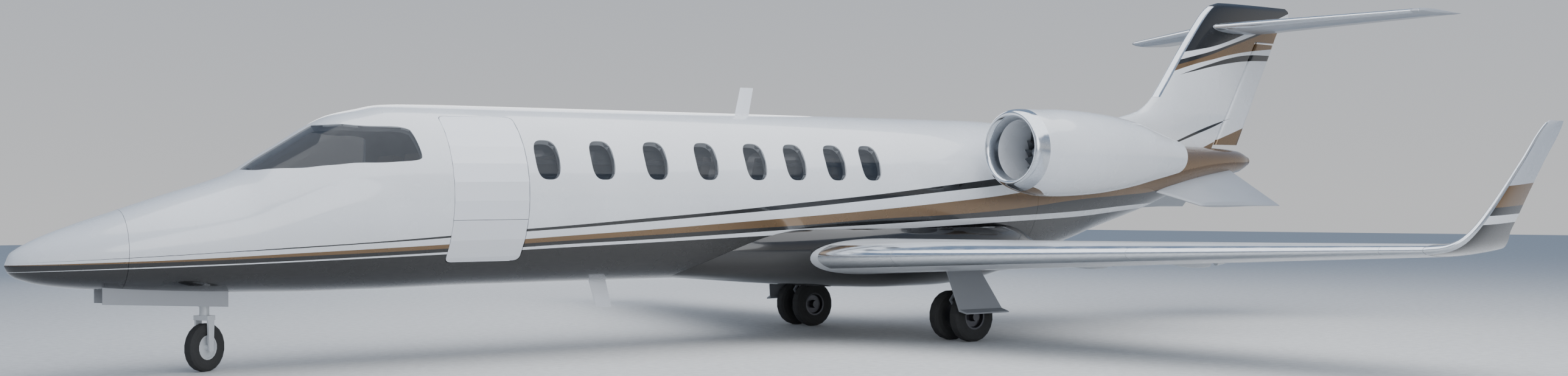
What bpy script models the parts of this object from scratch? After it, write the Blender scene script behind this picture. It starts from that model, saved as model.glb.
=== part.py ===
"""A light business jet parked on its wheels.

Every length is in metres. Stations run aft from the nose tip, Y is positive to
starboard and Z is the height above the ground. The finished pieces are moved
forward by half the length, so that the frame's origin lies on the ground below
the middle of the aircraft.
"""
from math import cos, pi, radians, sin, sqrt

import bmesh
import bpy
from mathutils import Matrix, Vector

# Overall sizes
LENGTH = 17.566
SEAT_GAP = 0.0004
MOVING_GAP = 0.006
SWEPT_GAP = 0.013
RUDDER_GAP = 0.024
SIDES = (("port", -1), ("starboard", 1))

# Fuselage lines, each a station and a value: crown height, keel height and half width
CROWN = (
    (0.00, 1.050), (0.03, 1.121), (0.08, 1.160), (0.15, 1.203), (0.24, 1.250), (0.47, 1.343),
    (0.89, 1.486), (1.32, 1.627), (1.77, 1.767), (2.00, 1.853), (2.23, 1.998), (2.47, 2.139),
    (2.71, 2.289), (2.95, 2.405), (3.20, 2.464), (3.45, 2.513), (3.71, 2.525), (4.30, 2.530),
    (11.0, 2.527), (11.6, 2.508), (12.5, 2.470), (13.5, 2.400), (14.885, 2.279), (15.607, 2.256),
    (16.10, 2.219), (16.30, 2.148),
)
KEEL = (
    (0.00, 0.980), (0.03, 0.940), (0.08, 0.907), (0.15, 0.882), (0.24, 0.854), (0.47, 0.815),
    (0.89, 0.775), (1.32, 0.748), (1.77, 0.728), (2.23, 0.719), (2.71, 0.711), (3.45, 0.712),
    (4.30, 0.724), (10.0, 0.730), (10.8, 0.735), (11.5, 0.790), (12.2, 0.920), (12.7, 1.040),
    (13.15, 1.176), (14.05, 1.418), (15.215, 1.776), (15.703, 1.865), (16.10, 1.925), (16.30, 2.014),
)
HALF_WIDTH = (
    (0.00, 0.035), (0.03, 0.092), (0.08, 0.140), (0.15, 0.190), (0.24, 0.238), (0.47, 0.330),
    (0.89, 0.455), (1.32, 0.550), (1.77, 0.630), (2.23, 0.700), (2.71, 0.765), (3.20, 0.820),
    (3.71, 0.852), (4.30, 0.870), (10.0, 0.870), (10.6, 0.845), (11.2, 0.795), (12.0, 0.710),
    (13.0, 0.595), (14.0, 0.465), (15.0, 0.335), (15.7, 0.235), (16.1, 0.150), (16.30, 0.070),
)
SKIN_FACETS = 24
NOSE_STATIONS = (0.0, 0.03, 0.08, 0.18, 0.35, 0.60, 0.95)
BODY_STATIONS = (
    0.95, 1.32, 1.77, 2.00, 2.12, 2.24, 2.48, 2.72, 2.84, 2.96, 3.10, 3.25, 3.45, 3.71, 4.30, 10.0, 10.6, 11.2, 11.6,
)
TAIL_STATIONS = (11.6, 12.2, 12.7, 13.6, 14.05, 14.6, 15.215, 15.703, 16.10, 16.24, 16.30)

# Fuselage walls and rooms
WALL = 0.07
RADOME_WALL = 0.03
NOSE_BAY = (0.90, 1.20, 1.77)
CABIN = (2.00, 2.24, 2.48, 2.72, 2.96, 3.25, 3.71, 4.30, 10.0, 10.6, 11.2)
TAIL_BAY = (11.5, 12.7, 13.6, 14.6, 15.703)
FLOOR_TOP = 0.97
FLOOR_THICK = 0.03
GEAR_WELL = (0.78, 1.93, 0.150, 1.02)
WELL_WALL = 0.02
CREW_SEAT = 3.12
CABIN_SEATS = ((5.15, -1), (6.35, 1), (7.30, 1), (8.10, 1))

# Cabin windows, port and starboard alike
WINDOW_STATIONS = (4.913, 5.538, 6.167, 6.789, 7.411, 7.937, 8.481, 8.974)
WINDOW_HALF_WIDTH = 0.135
WINDOW_PHI = (9.2, 36.7)
WINDOW_POWER = 3.0
WINDOW_FACING = 23.0

# Windshield: skin angle above the waist in degrees, forward edge and aft edge
WINDSHIELD = (
    (21.5, 3.31, 3.59), (24.0, 2.985, 3.60), (31.0, 2.69, 3.585), (38.0, 2.49, 3.565), (46.0, 2.34, 3.53),
    (53.0, 2.23, 3.14), (61.0, 2.135, 2.95), (72.0, 2.07, 2.79), (84.5, 2.03, 2.73),
)
PANE_THICK = 0.02
PANE_FACING = 48.0

# Entry door, port side: forward and aft edges, and skin angles of its three seams
DOOR_STATIONS = (3.885, 4.685)
DOOR_SILL_PHI = -46.3
DOOR_SPLIT_PHI = -15.6
DOOR_HEAD_PHI = 58.6
DOOR_CORNER = 0.06
HINGE_HALF_LENGTH = 0.30

# Belly fairing: station, half width and keel height
FAIRING = (
    (6.50, 0.34, 0.750), (6.90, 0.52, 0.722), (7.30, 0.68, 0.688), (7.80, 0.84, 0.645), (8.40, 0.94, 0.600),
    (9.00, 0.98, 0.562), (9.60, 0.99, 0.538), (10.2, 0.99, 0.538), (10.7, 0.94, 0.575), (11.2, 0.80, 0.650),
    (11.6, 0.60, 0.750), (11.9, 0.42, 0.845),
)
FAIRING_CENTRE = 1.02

# Wing
WING_ROOT_Y = 0.70
WING_TIP_Y = 6.75
WING_LE_ROOT = 8.056
WING_LE_Y = 0.851
WING_SWEEP = 0.3087
WING_TE = (10.99, 10.86)
WING_Z = 0.940
WING_DIHEDRAL = 0.0265
WING_WASH = -0.02
WING_THICK = (0.135, 0.110)
WINGLET = (
    (6.75, 1.096, 9.877, 10.860, 0.104), (6.88, 1.112, 9.925, 10.790, 0.092), (6.98, 1.160, 9.985, 10.690, 0.080),
    (7.05, 1.260, 10.075, 10.620, 0.070), (7.12, 1.450, 10.215, 10.660, 0.055), (7.21, 1.800, 10.465, 10.800, 0.040),
    (7.285, 2.130, 10.705, 10.960, 0.026), (7.29, 2.157, 10.760, 10.965, 0.014),
)
FLAP = (1.06, 4.52, 10.36, 10.48)
AILERON = (4.60, 6.42, 10.50, 10.60)
TRACKS = (1.60, 2.94, 4.20)

# Fin: height, leading edge, trailing edge, half thickness
FIN = (
    (2.05, 12.60, 15.99, 0.115), (2.42, 12.90, 16.20, 0.110), (2.55, 13.42, 16.27, 0.108), (2.634, 13.80, 16.31, 0.105),
    (2.725, 14.16, 16.37, 0.103), (2.882, 14.40, 16.45, 0.100), (3.03, 14.53, 16.53, 0.098), (3.58, 14.97, 16.84, 0.090),
    (3.93, 15.27, 17.03, 0.085), (4.10, 15.43, 17.24, 0.083), (4.20, 15.57, 17.25, 0.075), (4.25, 15.74, 17.18, 0.040),
)
RUDDER_Z = (2.30, 3.72)
RUDDER_HINGE = (15.690, 0.600)

# Tailplane
TAIL_HALF_SPAN = 2.363
TAIL_ROOT = (15.522, 16.865, 3.905)
TAIL_TIP = (16.687, 17.566, 3.951)
TAIL_THICK = (0.105, 0.095)
ELEVATOR_Y = (0.165, 2.28)
ELEVATOR_CHORD = 0.30

# Ventral fins: root and tip, each leading edge, trailing edge, Y and Z at both ends
VENTRAL_ROOT = ((13.95, 0.27, 1.70), (15.75, 0.16, 1.96))
VENTRAL_TIP = ((14.42, 0.80, 1.467), (15.98, 0.80, 1.458))
VENTRAL_THICK = 0.05

# Engines
ENGINE_Y = 1.47
ENGINE_Z = 2.085
NACELLE_OUTER = (
    (10.43, 0.395), (10.455, 0.425), (10.53, 0.452), (10.72, 0.482), (11.05, 0.500), (11.45, 0.490),
    (11.90, 0.455), (12.35, 0.387), (12.75, 0.292), (13.14, 0.197),
)
NACELLE_INNER = (
    (13.14, 0.180), (12.75, 0.250), (12.00, 0.335), (10.80, 0.350), (10.55, 0.345), (10.455, 0.362),
)
NACELLE_DROOP = ((10.43, 0.050), (10.90, 0.000), (12.20, 0.000), (13.14, -0.030))
CORE = ((11.25, 0.0), (11.25, 0.20), (11.35, 0.24), (12.35, 0.22), (12.70, 0.16), (13.05, 0.07), (13.22, 0.0))
NACELLE_FACETS = 24
STRUT_RELIEF = 0.0017
FAN_STATION = (10.98, 11.10)
FAN_HUB = 0.105
FAN_TIP = 0.334
FAN_BLADES = 16
PYLON = (11.35, 13.15, 0.085)

# Main gear
MAIN_X = 9.725
MAIN_Y = 1.4295
MAIN_R = 0.272
TWIN = 0.163
MAIN_RIM = 0.140
MAIN_WIDTH = 0.146
AXLE = 0.030

# Nose gear
NOSE_X = 1.734
NOSE_R = 0.2225
NOSE_RIM = 0.115
NOSE_WIDTH = 0.112
NOSE_STEER = radians(30.0)
FORK_TOP = 0.60

TYRE_FACETS = 20


def smooth(points, at):
    """Reads a smooth curve through (station, value) points."""
    if at <= points[0][0]:
        return points[0][1]
    if at >= points[-1][0]:
        return points[-1][1]
    i = 0
    while points[i + 1][0] < at:
        i += 1

    def slope(k):
        if k == 0 or k == len(points) - 1:
            a, b = (0, 1) if k == 0 else (k - 1, k)
            return (points[b][1] - points[a][1]) / (points[b][0] - points[a][0])
        before = (points[k][1] - points[k - 1][1]) / (points[k][0] - points[k - 1][0])
        after = (points[k + 1][1] - points[k][1]) / (points[k + 1][0] - points[k][0])
        return 2 * before * after / (before + after) if before * after > 0 else 0.0

    (x0, y0), (x1, y1) = points[i], points[i + 1]
    h = x1 - x0
    t = (at - x0) / h
    return (
        y0 * (2 * t ** 3 - 3 * t ** 2 + 1) + h * slope(i) * (t ** 3 - 2 * t ** 2 + t)
        + y1 * (3 * t ** 2 - 2 * t ** 3) + h * slope(i + 1) * (t ** 3 - t ** 2)
    )


def between(a, b, t):
    """Reads the straight line from a to b."""
    return a + (b - a) * t


# Materials

def paint(name, colour, metallic=0.0, roughness=0.5):
    material = bpy.data.materials.new(name)
    material.use_nodes = True
    shader = material.node_tree.nodes["Principled BSDF"]
    shader.inputs["Base Color"].default_value = (*colour, 1.0)
    shader.inputs["Metallic"].default_value = metallic
    shader.inputs["Roughness"].default_value = roughness
    material.diffuse_color = (*colour, 1.0)
    return material


WHITE = (0.80, 0.82, 0.86)
GREY = (0.42, 0.44, 0.47)
BLACK = (0.02, 0.02, 0.025)
GOLD = (0.30, 0.22, 0.13)


# Solids, each a list of points and a list of faces

def loft(rings):
    """Skins equal rings one after the other and closes both ends."""
    count = len(rings[0])
    points = [p for ring in rings for p in ring]
    faces = []
    for i in range(len(rings) - 1):
        a, b = i * count, (i + 1) * count
        for k in range(count):
            n = (k + 1) % count
            faces += [(a + k, a + n, b + n), (a + k, b + n, b + k)]
    last = (len(rings) - 1) * count
    faces.append(tuple(range(count)))
    faces.append(tuple(range(last + count - 1, last - 1, -1)))
    return points, faces


def turned(profile, centre, axis, facets, closed=False, turn=0.0):
    """Turns (along, radius) points about an axis. A closed profile makes a ring."""
    along = Vector([1.0 if name == axis else 0.0 for name in "XYZ"])
    side = Vector((0, 0, 1)) if axis != "Z" else Vector((1, 0, 0))
    other = along.cross(side)
    points, rows = [], []
    for distance, radius in profile:
        middle = Vector(centre) + along * distance
        if radius <= 0.0:
            rows.append([len(points)] * facets)
            points.append(middle)
            continue
        rows.append(list(range(len(points), len(points) + facets)))
        for k in range(facets):
            a = turn + 2 * pi * k / facets
            points.append(middle + (side * cos(a) + other * sin(a)) * radius)
    faces = []
    pairs = list(zip(rows, rows[1:])) + ([(rows[-1], rows[0])] if closed else [])
    for first, second in pairs:
        for k in range(facets):
            n = (k + 1) % facets
            face = []
            for index in (first[k], first[n], second[n], second[k]):
                if index not in face:
                    face.append(index)
            if len(face) > 2:
                faces.append(tuple(face))
    return points, faces


def rod(start, end, radius, facets=12, end_radius=None, square_to=None):
    """A round bar from one point to another, its ends square to itself or to an axis."""
    start, end = Vector(start), Vector(end)
    along = Vector(square_to) if square_to else (end - start).normalized()
    side = along.orthogonal().normalized()
    other = along.cross(side)
    rings = []
    for middle, r in ((start, radius), (end, end_radius or radius)):
        rings.append([middle + (side * cos(2 * pi * k / facets) + other * sin(2 * pi * k / facets)) * r
                      for k in range(facets)])
    return loft(rings)


def swept_pin(start, wall, normal, radius):
    """A hinge pin square to itself, whose rim stays clear of the slanting wall it turns against."""
    start, wall = Vector(start), Vector(wall)
    run = (wall - start).normalized()
    slant = abs(run.dot(Vector(normal)))
    short = (SEAT_GAP + radius * sqrt(1 - slant ** 2)) / slant
    return rod(start, wall - run * short, radius, 8)


def prism(outline, axis, low, high):
    """Extrudes an outline along an axis; its points are the other two coordinates in order."""
    spots = {"X": lambda p, v: (v, p[0], p[1]), "Y": lambda p, v: (p[0], v, p[1]), "Z": lambda p, v: (p[0], p[1], v)}
    return loft([[Vector(spots[axis](p, v)) for p in outline] for v in (low, high)])


def block(x, y, z):
    """A box between the two values given for each axis."""
    return prism(((x[0], y[0]), (x[1], y[0]), (x[1], y[1]), (x[0], y[1])), "Z", *z)


def mirrored(shape, side):
    """A port shape, or its image across the middle for starboard."""
    points, faces = shape
    return [Vector((p[0], -side * p[1], p[2])) for p in points], faces


# Objects

def add(name, shape, material=None):
    """Makes an object of a solid, with its faces pointing out."""
    points, faces = shape
    mesh = bpy.data.meshes.new(name)
    mesh.from_pydata([(p[0] - LENGTH / 2, p[1], p[2]) for p in points], [], faces)
    work = bmesh.new()
    work.from_mesh(mesh)
    bmesh.ops.recalc_face_normals(work, faces=work.faces)
    work.to_mesh(mesh)
    work.free()
    piece = bpy.data.objects.new(name, mesh)
    bpy.context.scene.collection.objects.link(piece)
    if material:
        mesh.materials.append(material)
    return piece


def combine(piece, shape, operation):
    """Applies a Boolean of the piece with a solid."""
    tool = add("tool", shape)
    modifier = piece.modifiers.new(operation, "BOOLEAN")
    modifier.operation = operation
    modifier.object = tool
    modifier.solver = "EXACT"
    graph = bpy.context.evaluated_depsgraph_get()
    mesh = bpy.data.meshes.new_from_object(piece.evaluated_get(graph))
    piece.modifiers.clear()
    old = piece.data
    piece.data = mesh
    mesh.name = piece.name
    bpy.data.meshes.remove(old)
    used = tool.data
    bpy.data.objects.remove(tool)
    bpy.data.meshes.remove(used)
    return piece


def cut(piece, *shapes):
    for shape in shapes:
        combine(piece, shape, "DIFFERENCE")
    return piece


def join(piece, *shapes):
    for shape in shapes:
        combine(piece, shape, "UNION")
    return piece


def shape_of(piece):
    """Takes a helper object back as a solid, to cut or join with."""
    points = [(v.co.x + LENGTH / 2, v.co.y, v.co.z) for v in piece.data.vertices]
    faces = [tuple(face.vertices) for face in piece.data.polygons]
    mesh = piece.data
    bpy.data.objects.remove(piece)
    bpy.data.meshes.remove(mesh)
    return points, faces


def set_pivot(piece, point):
    """Puts a moving piece's origin on its axis."""
    spot = Vector((point[0] - LENGTH / 2, point[1], point[2]))
    piece.data.transform(Matrix.Translation(-spot))
    piece.location = spot
    return piece


def turn_piece(piece, point, axis, angle):
    """Turns a piece's mesh about a line."""
    spot = Vector((point[0] - LENGTH / 2, point[1], point[2]))
    piece.data.transform(Matrix.Translation(spot) @ Matrix.Rotation(angle, 4, axis) @ Matrix.Translation(-spot))
    return piece


# Fuselage

def section(x):
    """Half width, half height and middle height of the fuselage at a station."""
    top, bottom = smooth(CROWN, x), smooth(KEEL, x)
    return smooth(HALF_WIDTH, x), (top - bottom) / 2, (top + bottom) / 2


def skin_ring(x, grow=0.0):
    """The ring of skin points at a station, grown outwards by a distance."""
    a, b, z = section(x)
    a, b = max(a + grow, 0.01), max(b + grow, 0.01)
    return [Vector((x, a * cos(2 * pi * k / SKIN_FACETS), z + b * sin(2 * pi * k / SKIN_FACETS)))
            for k in range(SKIN_FACETS)]


def skin_loft(stations, grow=0.0):
    return loft([skin_ring(x, grow) for x in stations])


def whole_skin(grow):
    """The whole fuselage as one solid, a little larger than life, to cut what sits on it."""
    stations = sorted(set(NOSE_STATIONS + BODY_STATIONS + TAIL_STATIONS))
    rings = [skin_ring(x, grow) for x in stations]
    return loft(rings)


def skin_point(x, degrees, grow):
    """A port skin point, by its angle above the waist."""
    a, b, z = section(x)
    angle = radians(degrees)
    return Vector((x, -(a + grow) * cos(angle), z + (b + grow) * sin(angle)))


def skin_panel(rows, outer, inner, columns, facing=None):
    """A closed panel that follows the port skin, from rows of (angle, forward, aft).

    Its depth is square to the skin or, where a facing angle is given, along that one direction.
    """
    points, faces = [], []
    way = Vector((0, -cos(radians(facing)), sin(radians(facing)))) if facing is not None else None
    for grow in (outer, inner):
        for degrees, forward, aft in rows:
            for k in range(columns + 1):
                x = between(forward, aft, k / columns)
                points.append(skin_point(x, degrees, 0.0) + way * grow if way else skin_point(x, degrees, grow))
    wide = columns + 1
    layer = wide * len(rows)
    for i in range(len(rows) - 1):
        for k in range(columns):
            a = i * wide + k
            faces += [(a, a + 1, a + wide + 1), (a, a + wide + 1, a + wide)]
            faces += [(layer + a, layer + a + wide, layer + a + wide + 1), (layer + a, layer + a + wide + 1, layer + a + 1)]
    rim = [k for k in range(wide)] + [i * wide + columns for i in range(1, len(rows))]
    rim += [layer - wide + k for k in range(columns - 1, -1, -1)] + [i * wide for i in range(len(rows) - 2, 0, -1)]
    for first, second in zip(rim, rim[1:] + rim[:1]):
        faces.append((first, second, layer + second, layer + first))
    return points, faces


def window_rows(x, shrink):
    """A window's rounded outline as rows of the skin."""
    low, high = WINDOW_PHI
    rows = []
    count = 4
    height = (high - low) / 2 - shrink * 60
    for i in range(count + 1):
        v = -cos(pi * i / count)
        width = (WINDOW_HALF_WIDTH - shrink) * max(1 - abs(v) ** WINDOW_POWER, 0.06) ** (1 / WINDOW_POWER)
        rows.append(((low + high) / 2 + height * v, x - width, x + width))
    return rows


def door_rows(low, high, shrink, corners):
    """The door's opening, or a leaf of it, with rounded corners at the ends named."""
    forward, aft = DOOR_STATIONS[0] + shrink, DOOR_STATIONS[1] - shrink
    low, high = low + degrees_of(shrink), high - degrees_of(shrink)
    corner = degrees_of(DOOR_CORNER)
    rows = []
    marks = [0.0, 0.15, 0.5, 1.0]
    for t in marks if "low" in corners else [0.0]:
        drop = DOOR_CORNER * (1 - sqrt(1 - (1 - t) ** 2)) if "low" in corners else 0.0
        rows.append((low + corner * t, forward + drop, aft - drop))
    start, end = rows[-1][0], high - (corner if "high" in corners else 0.0)
    steps = max(2, round((end - start) / 11.25))
    rows += [(between(start, end, k / steps), forward, aft) for k in range(1, steps)]
    for t in reversed(marks) if "high" in corners else [0.0]:
        drop = DOOR_CORNER * (1 - sqrt(1 - (1 - t) ** 2)) if "high" in corners else 0.0
        rows.append((high - corner * t, forward + drop, aft - drop))
    return rows


def degrees_of(length):
    """The skin angle that a length along the cabin wall covers."""
    return length / 0.89 * 180 / pi


def windshield_rows(shrink):
    """The pane's outline as rows of the skin; the centre post is left between the two panes."""
    rows = []
    for degrees, forward, aft in WINDSHIELD:
        rows.append((degrees, forward + shrink, aft - shrink))
    rows[0] = (rows[0][0] + degrees_of(shrink), rows[0][1], rows[0][2])
    rows[-1] = (rows[-1][0] - degrees_of(shrink), rows[-1][1], rows[-1][2])
    return rows


def make_fuselage():
    """Radome, cabin shell and tail, each a hollow shell split at the real seams."""
    white = paint("white_paint", WHITE, 0.1, 0.25)
    radome = add("radome", skin_loft(NOSE_STATIONS[:-1] + (NOSE_STATIONS[-1] - SEAT_GAP,)), white)
    cut(radome, skin_loft((0.12, 0.18, 0.35, 0.60, 1.00), -RADOME_WALL))

    shell = add("fuselage", skin_loft(BODY_STATIONS), white)
    x0, x1, half, top = GEAR_WELL
    bay = add("bay", skin_loft(NOSE_BAY, -WALL))
    cut(bay, block((x0 - WELL_WALL, x1 + WELL_WALL), (-half - WELL_WALL, half + WELL_WALL), (0.4, top + WELL_WALL)))
    cut(shell, shape_of(bay), skin_loft(CABIN, -WALL))
    for _, side in SIDES:
        for x in WINDOW_STATIONS:
            cut(shell, mirrored(skin_panel(window_rows(x, 0.0), 0.05, -WALL - 0.06, 1, WINDOW_FACING), side))
        cut(shell, mirrored(skin_panel(windshield_rows(0.0), 0.04, -WALL - 0.08, 4, PANE_FACING), side))
    rows = door_rows(DOOR_SILL_PHI, DOOR_HEAD_PHI, 0.0, ("low", "high"))
    cut(shell, skin_panel(rows, 0.05, -WALL - 0.05, 1))
    cut(shell, block((x0, x1), (-half, half), (0.5, top)))
    cut(radome, block((x0, x1), (-half, half), (0.5, top)))

    gold = paint("tail_section_paint", GOLD, 0.4, 0.3)
    tail = add("tail_section", skin_loft((TAIL_STATIONS[0] + SEAT_GAP,) + TAIL_STATIONS[1:]), gold)
    cut(tail, skin_loft(TAIL_BAY, -WALL))
    return radome, shell, tail


def make_glass():
    glass = paint("tinted_glass", (0.03, 0.04, 0.05), 0.0, 0.05)
    for name, side in SIDES:
        rows = windshield_rows(SEAT_GAP)
        add("windshield_" + name, mirrored(skin_panel(rows, -0.004, -0.004 - PANE_THICK, 4, PANE_FACING), side), glass)
        facet = 360 / SKIN_FACETS
        start, end = WINDOW_STATIONS[0] - 0.20, WINDOW_STATIONS[-1] + 0.20
        belt = [(facet * k, start, end) for k in range(0, 4)]
        strip = add("cabin_windows_" + name, mirrored(skin_panel(belt, -WALL - 0.001, -WALL - 0.009, 1), side), glass)
        for x in WINDOW_STATIONS:
            join(strip, mirrored(skin_panel(window_rows(x, SEAT_GAP), -0.012, -WALL - 0.006, 1, WINDOW_FACING), side))


def make_doors():
    """The entry door's two leaves: the upper swings up and the lower, with its steps, down."""
    white = paint("door_paint", WHITE, 0.1, 0.25)
    gap = MOVING_GAP
    split = degrees_of(gap / 2)
    rows = door_rows(DOOR_SPLIT_PHI + split - degrees_of(gap), DOOR_HEAD_PHI, gap, ("high",))
    upper = add("entry_door_upper", skin_panel(rows, 0.0, -WALL, 1), white)
    rows = door_rows(DOOR_SILL_PHI, DOOR_SPLIT_PHI - split + degrees_of(gap), gap, ("low",))
    lower = add("entry_door_lower", skin_panel(rows, 0.0, -WALL, 1), white)
    for degrees in (-38.0, -27.0):
        at = skin_point(4.285, degrees, -WALL)
        join(lower, block((4.00, 4.57), (at.y - 0.02, at.y + 0.13), (at.z - 0.012, at.z + 0.012)))
    middle = sum(DOOR_STATIONS) / 2
    for piece, degrees, way in ((upper, DOOR_HEAD_PHI, -1), (lower, DOOR_SILL_PHI, 1)):
        at = skin_point(middle, degrees + way * degrees_of(gap / 2), -0.002)
        inside = skin_point(middle, degrees + way * degrees_of(gap * 4), -0.03)
        barrel = [(x, at.y, at.z) for x in (middle - HINGE_HALF_LENGTH, middle + HINGE_HALF_LENGTH)]
        join(piece, rod(*barrel, gap / 2 - SEAT_GAP, 8))
        for x in (middle - 0.25, middle + 0.25):
            join(piece, rod((x, at.y, at.z), (x, inside.y, inside.z), 0.002, 6))
        set_pivot(piece, at)
    return upper, lower


def make_interior():
    lining = paint("floor_carpet", (0.18, 0.16, 0.14), 0.0, 0.9)
    rings = []
    for x in (2.30, 2.60, 2.96, 3.45, 4.00, 4.30, 10.0, 10.6, 11.19):
        ring = []
        for z in (FLOOR_TOP, FLOOR_TOP - FLOOR_THICK):
            spare = SEAT_GAP if 4.2 < x < 10.1 else 0.004
            half = wall_half_width(x, FLOOR_TOP - FLOOR_THICK) - spare
            ring += [Vector((x, half if z == FLOOR_TOP else -half, z)), Vector((x, -half if z == FLOOR_TOP else half, z))]
        rings.append(ring)
    add("cabin_floor", loft(rings), lining)

    dark = paint("panel_black", (0.02, 0.02, 0.02), 0.0, 0.7)
    half = 0.52
    panel = add("instrument_panel", prism(((2.42, 1.60), (2.75, 1.86), (2.92, 1.86), (2.86, 1.70), (2.78, 1.25),
                                           (2.62, 1.20)), "Y", -half, half), dark)
    join(panel, block((2.55, 3.30), (-0.13, 0.13), (FLOOR_TOP + SEAT_GAP, 1.32)))

    leather = paint("seat_leather", (0.45, 0.38, 0.30), 0.0, 0.6)
    for name, side in SIDES:
        crew = add("crew_seat_" + name, mirrored(seat(CREW_SEAT, 1), side), leather)
        join(crew, mirrored(seat_foot(CREW_SEAT), side))
        rail = block((5.2, 8.75), (-0.325, -0.295), (FLOOR_TOP + 0.003, FLOOR_TOP + 0.03))
        seats = add("cabin_seats_" + name, mirrored(rail, side), leather)
        for x, facing in CABIN_SEATS:
            join(seats, mirrored(seat_foot(x), side), mirrored(seat(x, facing), side))


def seat(x, facing):
    """A seat's cushion and back, seen from the side; facing 1 looks forward."""
    z = FLOOR_TOP
    outline = ((0.02, z + 0.24), (0.44, z + 0.26), (0.54, z + 0.34), (0.62, z + 0.86), (0.66, z + 1.04),
               (0.56, z + 1.06), (0.44, z + 0.50), (0.40, z + 0.45), (-0.02, z + 0.45), (-0.04, z + 0.30))
    flip = [(x + (p[0] if facing > 0 else 0.62 - p[0]), p[1]) for p in outline]
    return prism(flip, "Y", -0.56, -0.15)


def seat_foot(x):
    """The pedestal that carries a seat from the floor."""
    return block((x + 0.14, x + 0.44), (-0.40, -0.22), (FLOOR_TOP + SEAT_GAP, FLOOR_TOP + 0.34))


def wall_half_width(x, z):
    """Half the width between the cabin's inner wall facets at a height."""
    ring = skin_ring(x, -WALL)
    best = 0.0
    for k in range(SKIN_FACETS):
        p, q = ring[k], ring[(k + 1) % SKIN_FACETS]
        if min(p.z, q.z) <= z <= max(p.z, q.z) and p.y > 0 and p.z != q.z:
            best = between(p.y, q.y, (z - p.z) / (q.z - p.z))
    return best


# Wing

def foil_half(s):
    """Half thickness of the wing section at a fraction of its chord, for a thickness of one chord."""
    return 5 * (0.2969 * sqrt(s) - 0.1260 * s - 0.3516 * s ** 2 + 0.2843 * s ** 3 - 0.1021 * s ** 4)


FOIL_MARKS = (1.0, 0.80, 0.60, 0.42, 0.26, 0.13, 0.05, 0.012, 0.0)


def foil_ring(le, te, thick, up, grow=0.0):
    """A closed ring of section points from a leading edge to a trailing edge."""
    le, te = Vector(le), Vector(te)
    chord = (te - le).length
    along = (te - le) / chord
    le = le - along * grow
    te = te + along * grow
    up = Vector(up)
    ring = []
    for side in (1, -1):
        marks = FOIL_MARKS if side > 0 else FOIL_MARKS[-2::-1]
        for s in marks:
            half = foil_half(s) * thick * chord + grow + 0.002 * s
            ring.append(between(le, te, s) + up * (side * half if s > 0 else 0.0))
    return ring


def surface_ring(le, te, thick, up, hinge_fraction, grow=0.0):
    """A control surface's ring: a round nose about its hinge, then the section back to the trailing edge."""
    le, te, up = Vector(le), Vector(te), Vector(up)
    chord = (te - le).length
    along = (te - le) / chord
    radius = foil_half(hinge_fraction) * thick * chord - 0.001
    centre = between(le, te, hinge_fraction)
    ring = []
    marks = (1.0, between(hinge_fraction, 1.0, 0.66), between(hinge_fraction, 1.0, 0.33))
    for s in marks:
        ring.append(between(le, te, s) + up * (foil_half(s) * thick * chord + 0.002 * s - 0.001))
    for k in range(7):
        a = pi / 2 + pi * k / 6
        ring.append(centre + along * (radius * cos(a)) + up * (radius * sin(a)))
    for s in reversed(marks):
        ring.append(between(le, te, s) - up * (foil_half(s) * thick * chord + 0.002 * s - 0.001))
    return ring


def wing_line(y):
    """Leading edge, trailing edge and thickness of the port wing at a distance from the middle."""
    t = (y - WING_LE_Y) / (WING_TIP_Y - WING_LE_Y)
    z = WING_Z + WING_DIHEDRAL * (y - WING_LE_Y)
    le = Vector((WING_LE_ROOT + WING_SWEEP * (y - WING_LE_Y), -y, z))
    te = Vector((between(WING_TE[0], WING_TE[1], t), -y, z + WING_WASH))
    return le, te, between(WING_THICK[0], WING_THICK[1], t)


def hinge_point(line, y, hinge_x):
    """The hinge's point on the chord, and its fraction of the chord."""
    le, te, _ = line(y)
    fraction = (hinge_x - le.x) / (te.x - le.x)
    return between(le, te, fraction), fraction


def wing_hinge_x(bay, y):
    return between(bay[2], bay[3], (y - bay[0]) / (bay[1] - bay[0]))


def bay_cutter(bay):
    """The space behind the spar where a flap or an aileron moves."""
    outline = []
    for y in (bay[0] - MOVING_GAP, bay[1] + MOVING_GAP):
        _, fraction = hinge_point(wing_line, y, wing_hinge_x(bay, y))
        le, te, thick = wing_line(y)
        radius = foil_half(fraction) * thick * (te - le).length
        outline.append((wing_hinge_x(bay, y) - radius - MOVING_GAP, -y))
    outline += [(11.5, -bay[1] - MOVING_GAP), (11.5, -bay[0] + MOVING_GAP)]
    return prism(outline, "Z", 0.5, 1.6)


def wing_surface(bay, steps):
    rings = []
    for k in range(steps + 1):
        y = between(bay[0], bay[1], k / steps)
        le, te, thick = wing_line(y)
        _, fraction = hinge_point(wing_line, y, wing_hinge_x(bay, y))
        rings.append(surface_ring(le, te, thick, (0, 0, 1), fraction))
    return loft(rings)


def end_pins(bay):
    """Hinge pins that bridge the gap at both ends of a surface."""
    pins = []
    for y, way in ((bay[0], -1), (bay[1], 1)):
        a, _ = hinge_point(wing_line, y - way * 0.03, wing_hinge_x(bay, y - way * 0.03))
        b, _ = hinge_point(wing_line, y + way * (MOVING_GAP - SEAT_GAP), wing_hinge_x(bay, y + way * MOVING_GAP))
        pins.append(rod(a, b, 0.008, 8, square_to=(0, 1, 0)))
    return pins


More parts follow.
